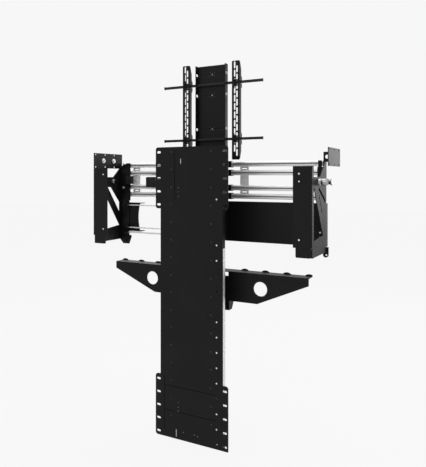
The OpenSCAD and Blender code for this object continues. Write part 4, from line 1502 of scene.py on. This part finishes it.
class NodeDresser:
    """Gives each CAD node that stays in view its finish."""

    special: dict[str, Finish] = {
        "gear_rack": CUT_STEEL,
        "drive_pinion": CUT_STEEL,
        "roller_stubs": ZINC,
        "tie_plates": SATIN,
        "side_truss_left": MATTE_COAT,
        "side_truss_right": MATTE_COAT,
        "plunger_sleeve_left": BRIGHT_ZINC,
        "plunger_sleeve_right": BRIGHT_ZINC,
    }

    def __init__(self, frame: dict) -> None:
        """Read the record's slots."""
        self.nodes = frame["nodes"]
        self.slots = {row["node"]: row["material_slot"] for row in frame["record"]["subparts"]}

    def build(self) -> None:
        """Dress every node."""
        for name, obj in self.nodes.items():
            finish = self.special.get(name) or SLOT_FINISHES[self.slots[name]]
            for slot in obj.material_slots:
                slot.material = finish.material()
            LOG.info("%s: %s", name, finish.name)


# Studio


@dataclass(frozen=True)
class PhotoCamera:
    """Camera where the photograph was taken from."""

    position: Point = (0.955, -1.6756, 0.9705)
    yaw_deg: float = 27.2
    lens_mm: float = 39.97
    sensor_mm: float = 36.0
    shift_y: float = -0.12

    def build(self) -> None:
        """Make the camera and use it."""
        data = bpy.data.cameras.new("photo_camera")
        data.sensor_fit = "VERTICAL"
        data.sensor_height = self.sensor_mm
        data.lens = self.lens_mm
        data.shift_y = self.shift_y
        data.clip_start = 0.05
        data.clip_end = 60.0
        camera = bpy.data.objects.new("photo_camera", data)
        camera.location = self.position
        camera.rotation_euler = (math.radians(90), 0.0, math.radians(self.yaw_deg))
        bpy.context.scene.collection.objects.link(camera)
        bpy.context.scene.camera = camera


@dataclass(frozen=True)
class SoftLamp:
    """One soft area lamp, aimed at a point."""

    name: str
    position: Point
    size: float
    watts: float
    target: Point = (0.0, 0.1, 0.8)

    def build(self) -> None:
        """Make the lamp."""
        data = bpy.data.lights.new(self.name, "AREA")
        data.shape = "SQUARE"
        data.size = self.size
        data.energy = self.watts
        lamp = bpy.data.objects.new(self.name, data)
        lamp.location = self.position
        aim = Vector(self.target) - Vector(self.position)
        lamp.rotation_euler = aim.to_track_quat("-Z", "Y").to_euler()
        bpy.context.scene.collection.objects.link(lamp)


@dataclass(frozen=True)
class Studio:
    """Pale floor, pale surroundings and soft light."""

    floor_level: float = -0.0152
    floor_half: float = 14.0
    floor_paper: float = 0.9
    floor_glow: float = 0.946
    glow_share: float = 0.95
    background: float = 0.93
    ambient: float = 0.5
    lamps: tuple[SoftLamp, ...] = (
        SoftLamp("right_softbox", (2.6, 0.9, 1.5), size=3.0, watts=26.0),
        SoftLamp("back_right_softbox", (1.35, 2.6, 1.25), size=1.1, watts=10.0),
        SoftLamp("back_left_softbox", (-2.4, 2.8, 2.2), size=1.6, watts=8.0),
        SoftLamp("front_softbox", (0.2, -3.4, 2.9), size=2.0, watts=22.0),
        SoftLamp("top_softbox", (-0.6, 0.6, 3.4), size=2.2, watts=38.0),
    )

    @staticmethod
    def _seen(graph: Graph) -> Signal:
        """Mask of the rays that show the pale background itself."""
        path = graph.node("ShaderNodeLightPath", {}, {})
        camera = Signal(graph, path.outputs["Is Camera Ray"])
        glossy = Signal(graph, path.outputs["Is Glossy Ray"])
        through = Signal(graph, path.outputs["Is Transmission Ray"])
        return (camera + glossy + through).above(0.5, 0.1)

    def floor(self) -> None:
        """A large pale floor that keeps the soft shadow."""
        bm = bmesh.new()
        bmesh.ops.create_grid(bm, x_segments=1, y_segments=1, size=self.floor_half)
        bmesh.ops.translate(bm, vec=(0, 0, self.floor_level), verts=bm.verts)
        mesh = bpy.data.meshes.new("studio_floor")
        bm.to_mesh(mesh)
        bm.free()
        material = bpy.data.materials.new("studio_floor_paper")
        material.use_nodes = True
        graph = Graph(material.node_tree)
        white, bright = ((*[grey] * 3, 1.0) for grey in (self.floor_paper, self.floor_glow))
        paper = graph.node("ShaderNodeBsdfDiffuse", {}, {"Color": white})
        glow = graph.node("ShaderNodeEmission", {}, {"Color": bright, "Strength": 1.0})
        inputs = {0: self._seen(graph) * self.glow_share, 1: paper.outputs[0], 2: glow.outputs[0]}
        mixed = graph.node("ShaderNodeMixShader", {}, inputs)
        graph.node("ShaderNodeOutputMaterial", {}, {0: mixed.outputs[0]})
        mesh.materials.append(material)
        floor = bpy.data.objects.new("studio_floor", mesh)
        bpy.context.scene.collection.objects.link(floor)
        floor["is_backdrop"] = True

    def world(self) -> None:
        """Surroundings: pale where seen, dimmer as a light."""
        world = bpy.data.worlds.new("studio_world")
        world.use_nodes = True
        graph = Graph(world.node_tree)
        strength = self._seen(graph) * (self.background - self.ambient) + self.ambient
        glow = graph.node("ShaderNodeBackground", {}, {0: (1.0, 1.0, 1.0, 1.0), 1: strength})
        graph.node("ShaderNodeOutputWorld", {}, {0: glow.outputs[0]})
        bpy.context.scene.world = world

    def build(self) -> None:
        """Build floor, world and lamps."""
        self.floor()
        self.world()
        for lamp in self.lamps:
            lamp.build()


def main(frame: dict, cad_bounds: Sequence[Sequence[float]]) -> None:
    """Build the looks of the lift.

    Args:
        cad_bounds: Box of the CAD model before anything is added. Not used.
    """
    logging.basicConfig(level=logging.INFO, format="%(name)s: %(message)s")
    bpy.context.scene.view_settings.view_transform = "Standard"
    PhotoCamera().build()
    NodeDresser(frame).build()
    for part in (Column(), Rollers(), Drive(), TvBracket(), CrossFrame(), EndFrames(), Studio()):
        part.build()


if __name__ == "__main__":
    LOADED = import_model()
    main(LOADED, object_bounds())
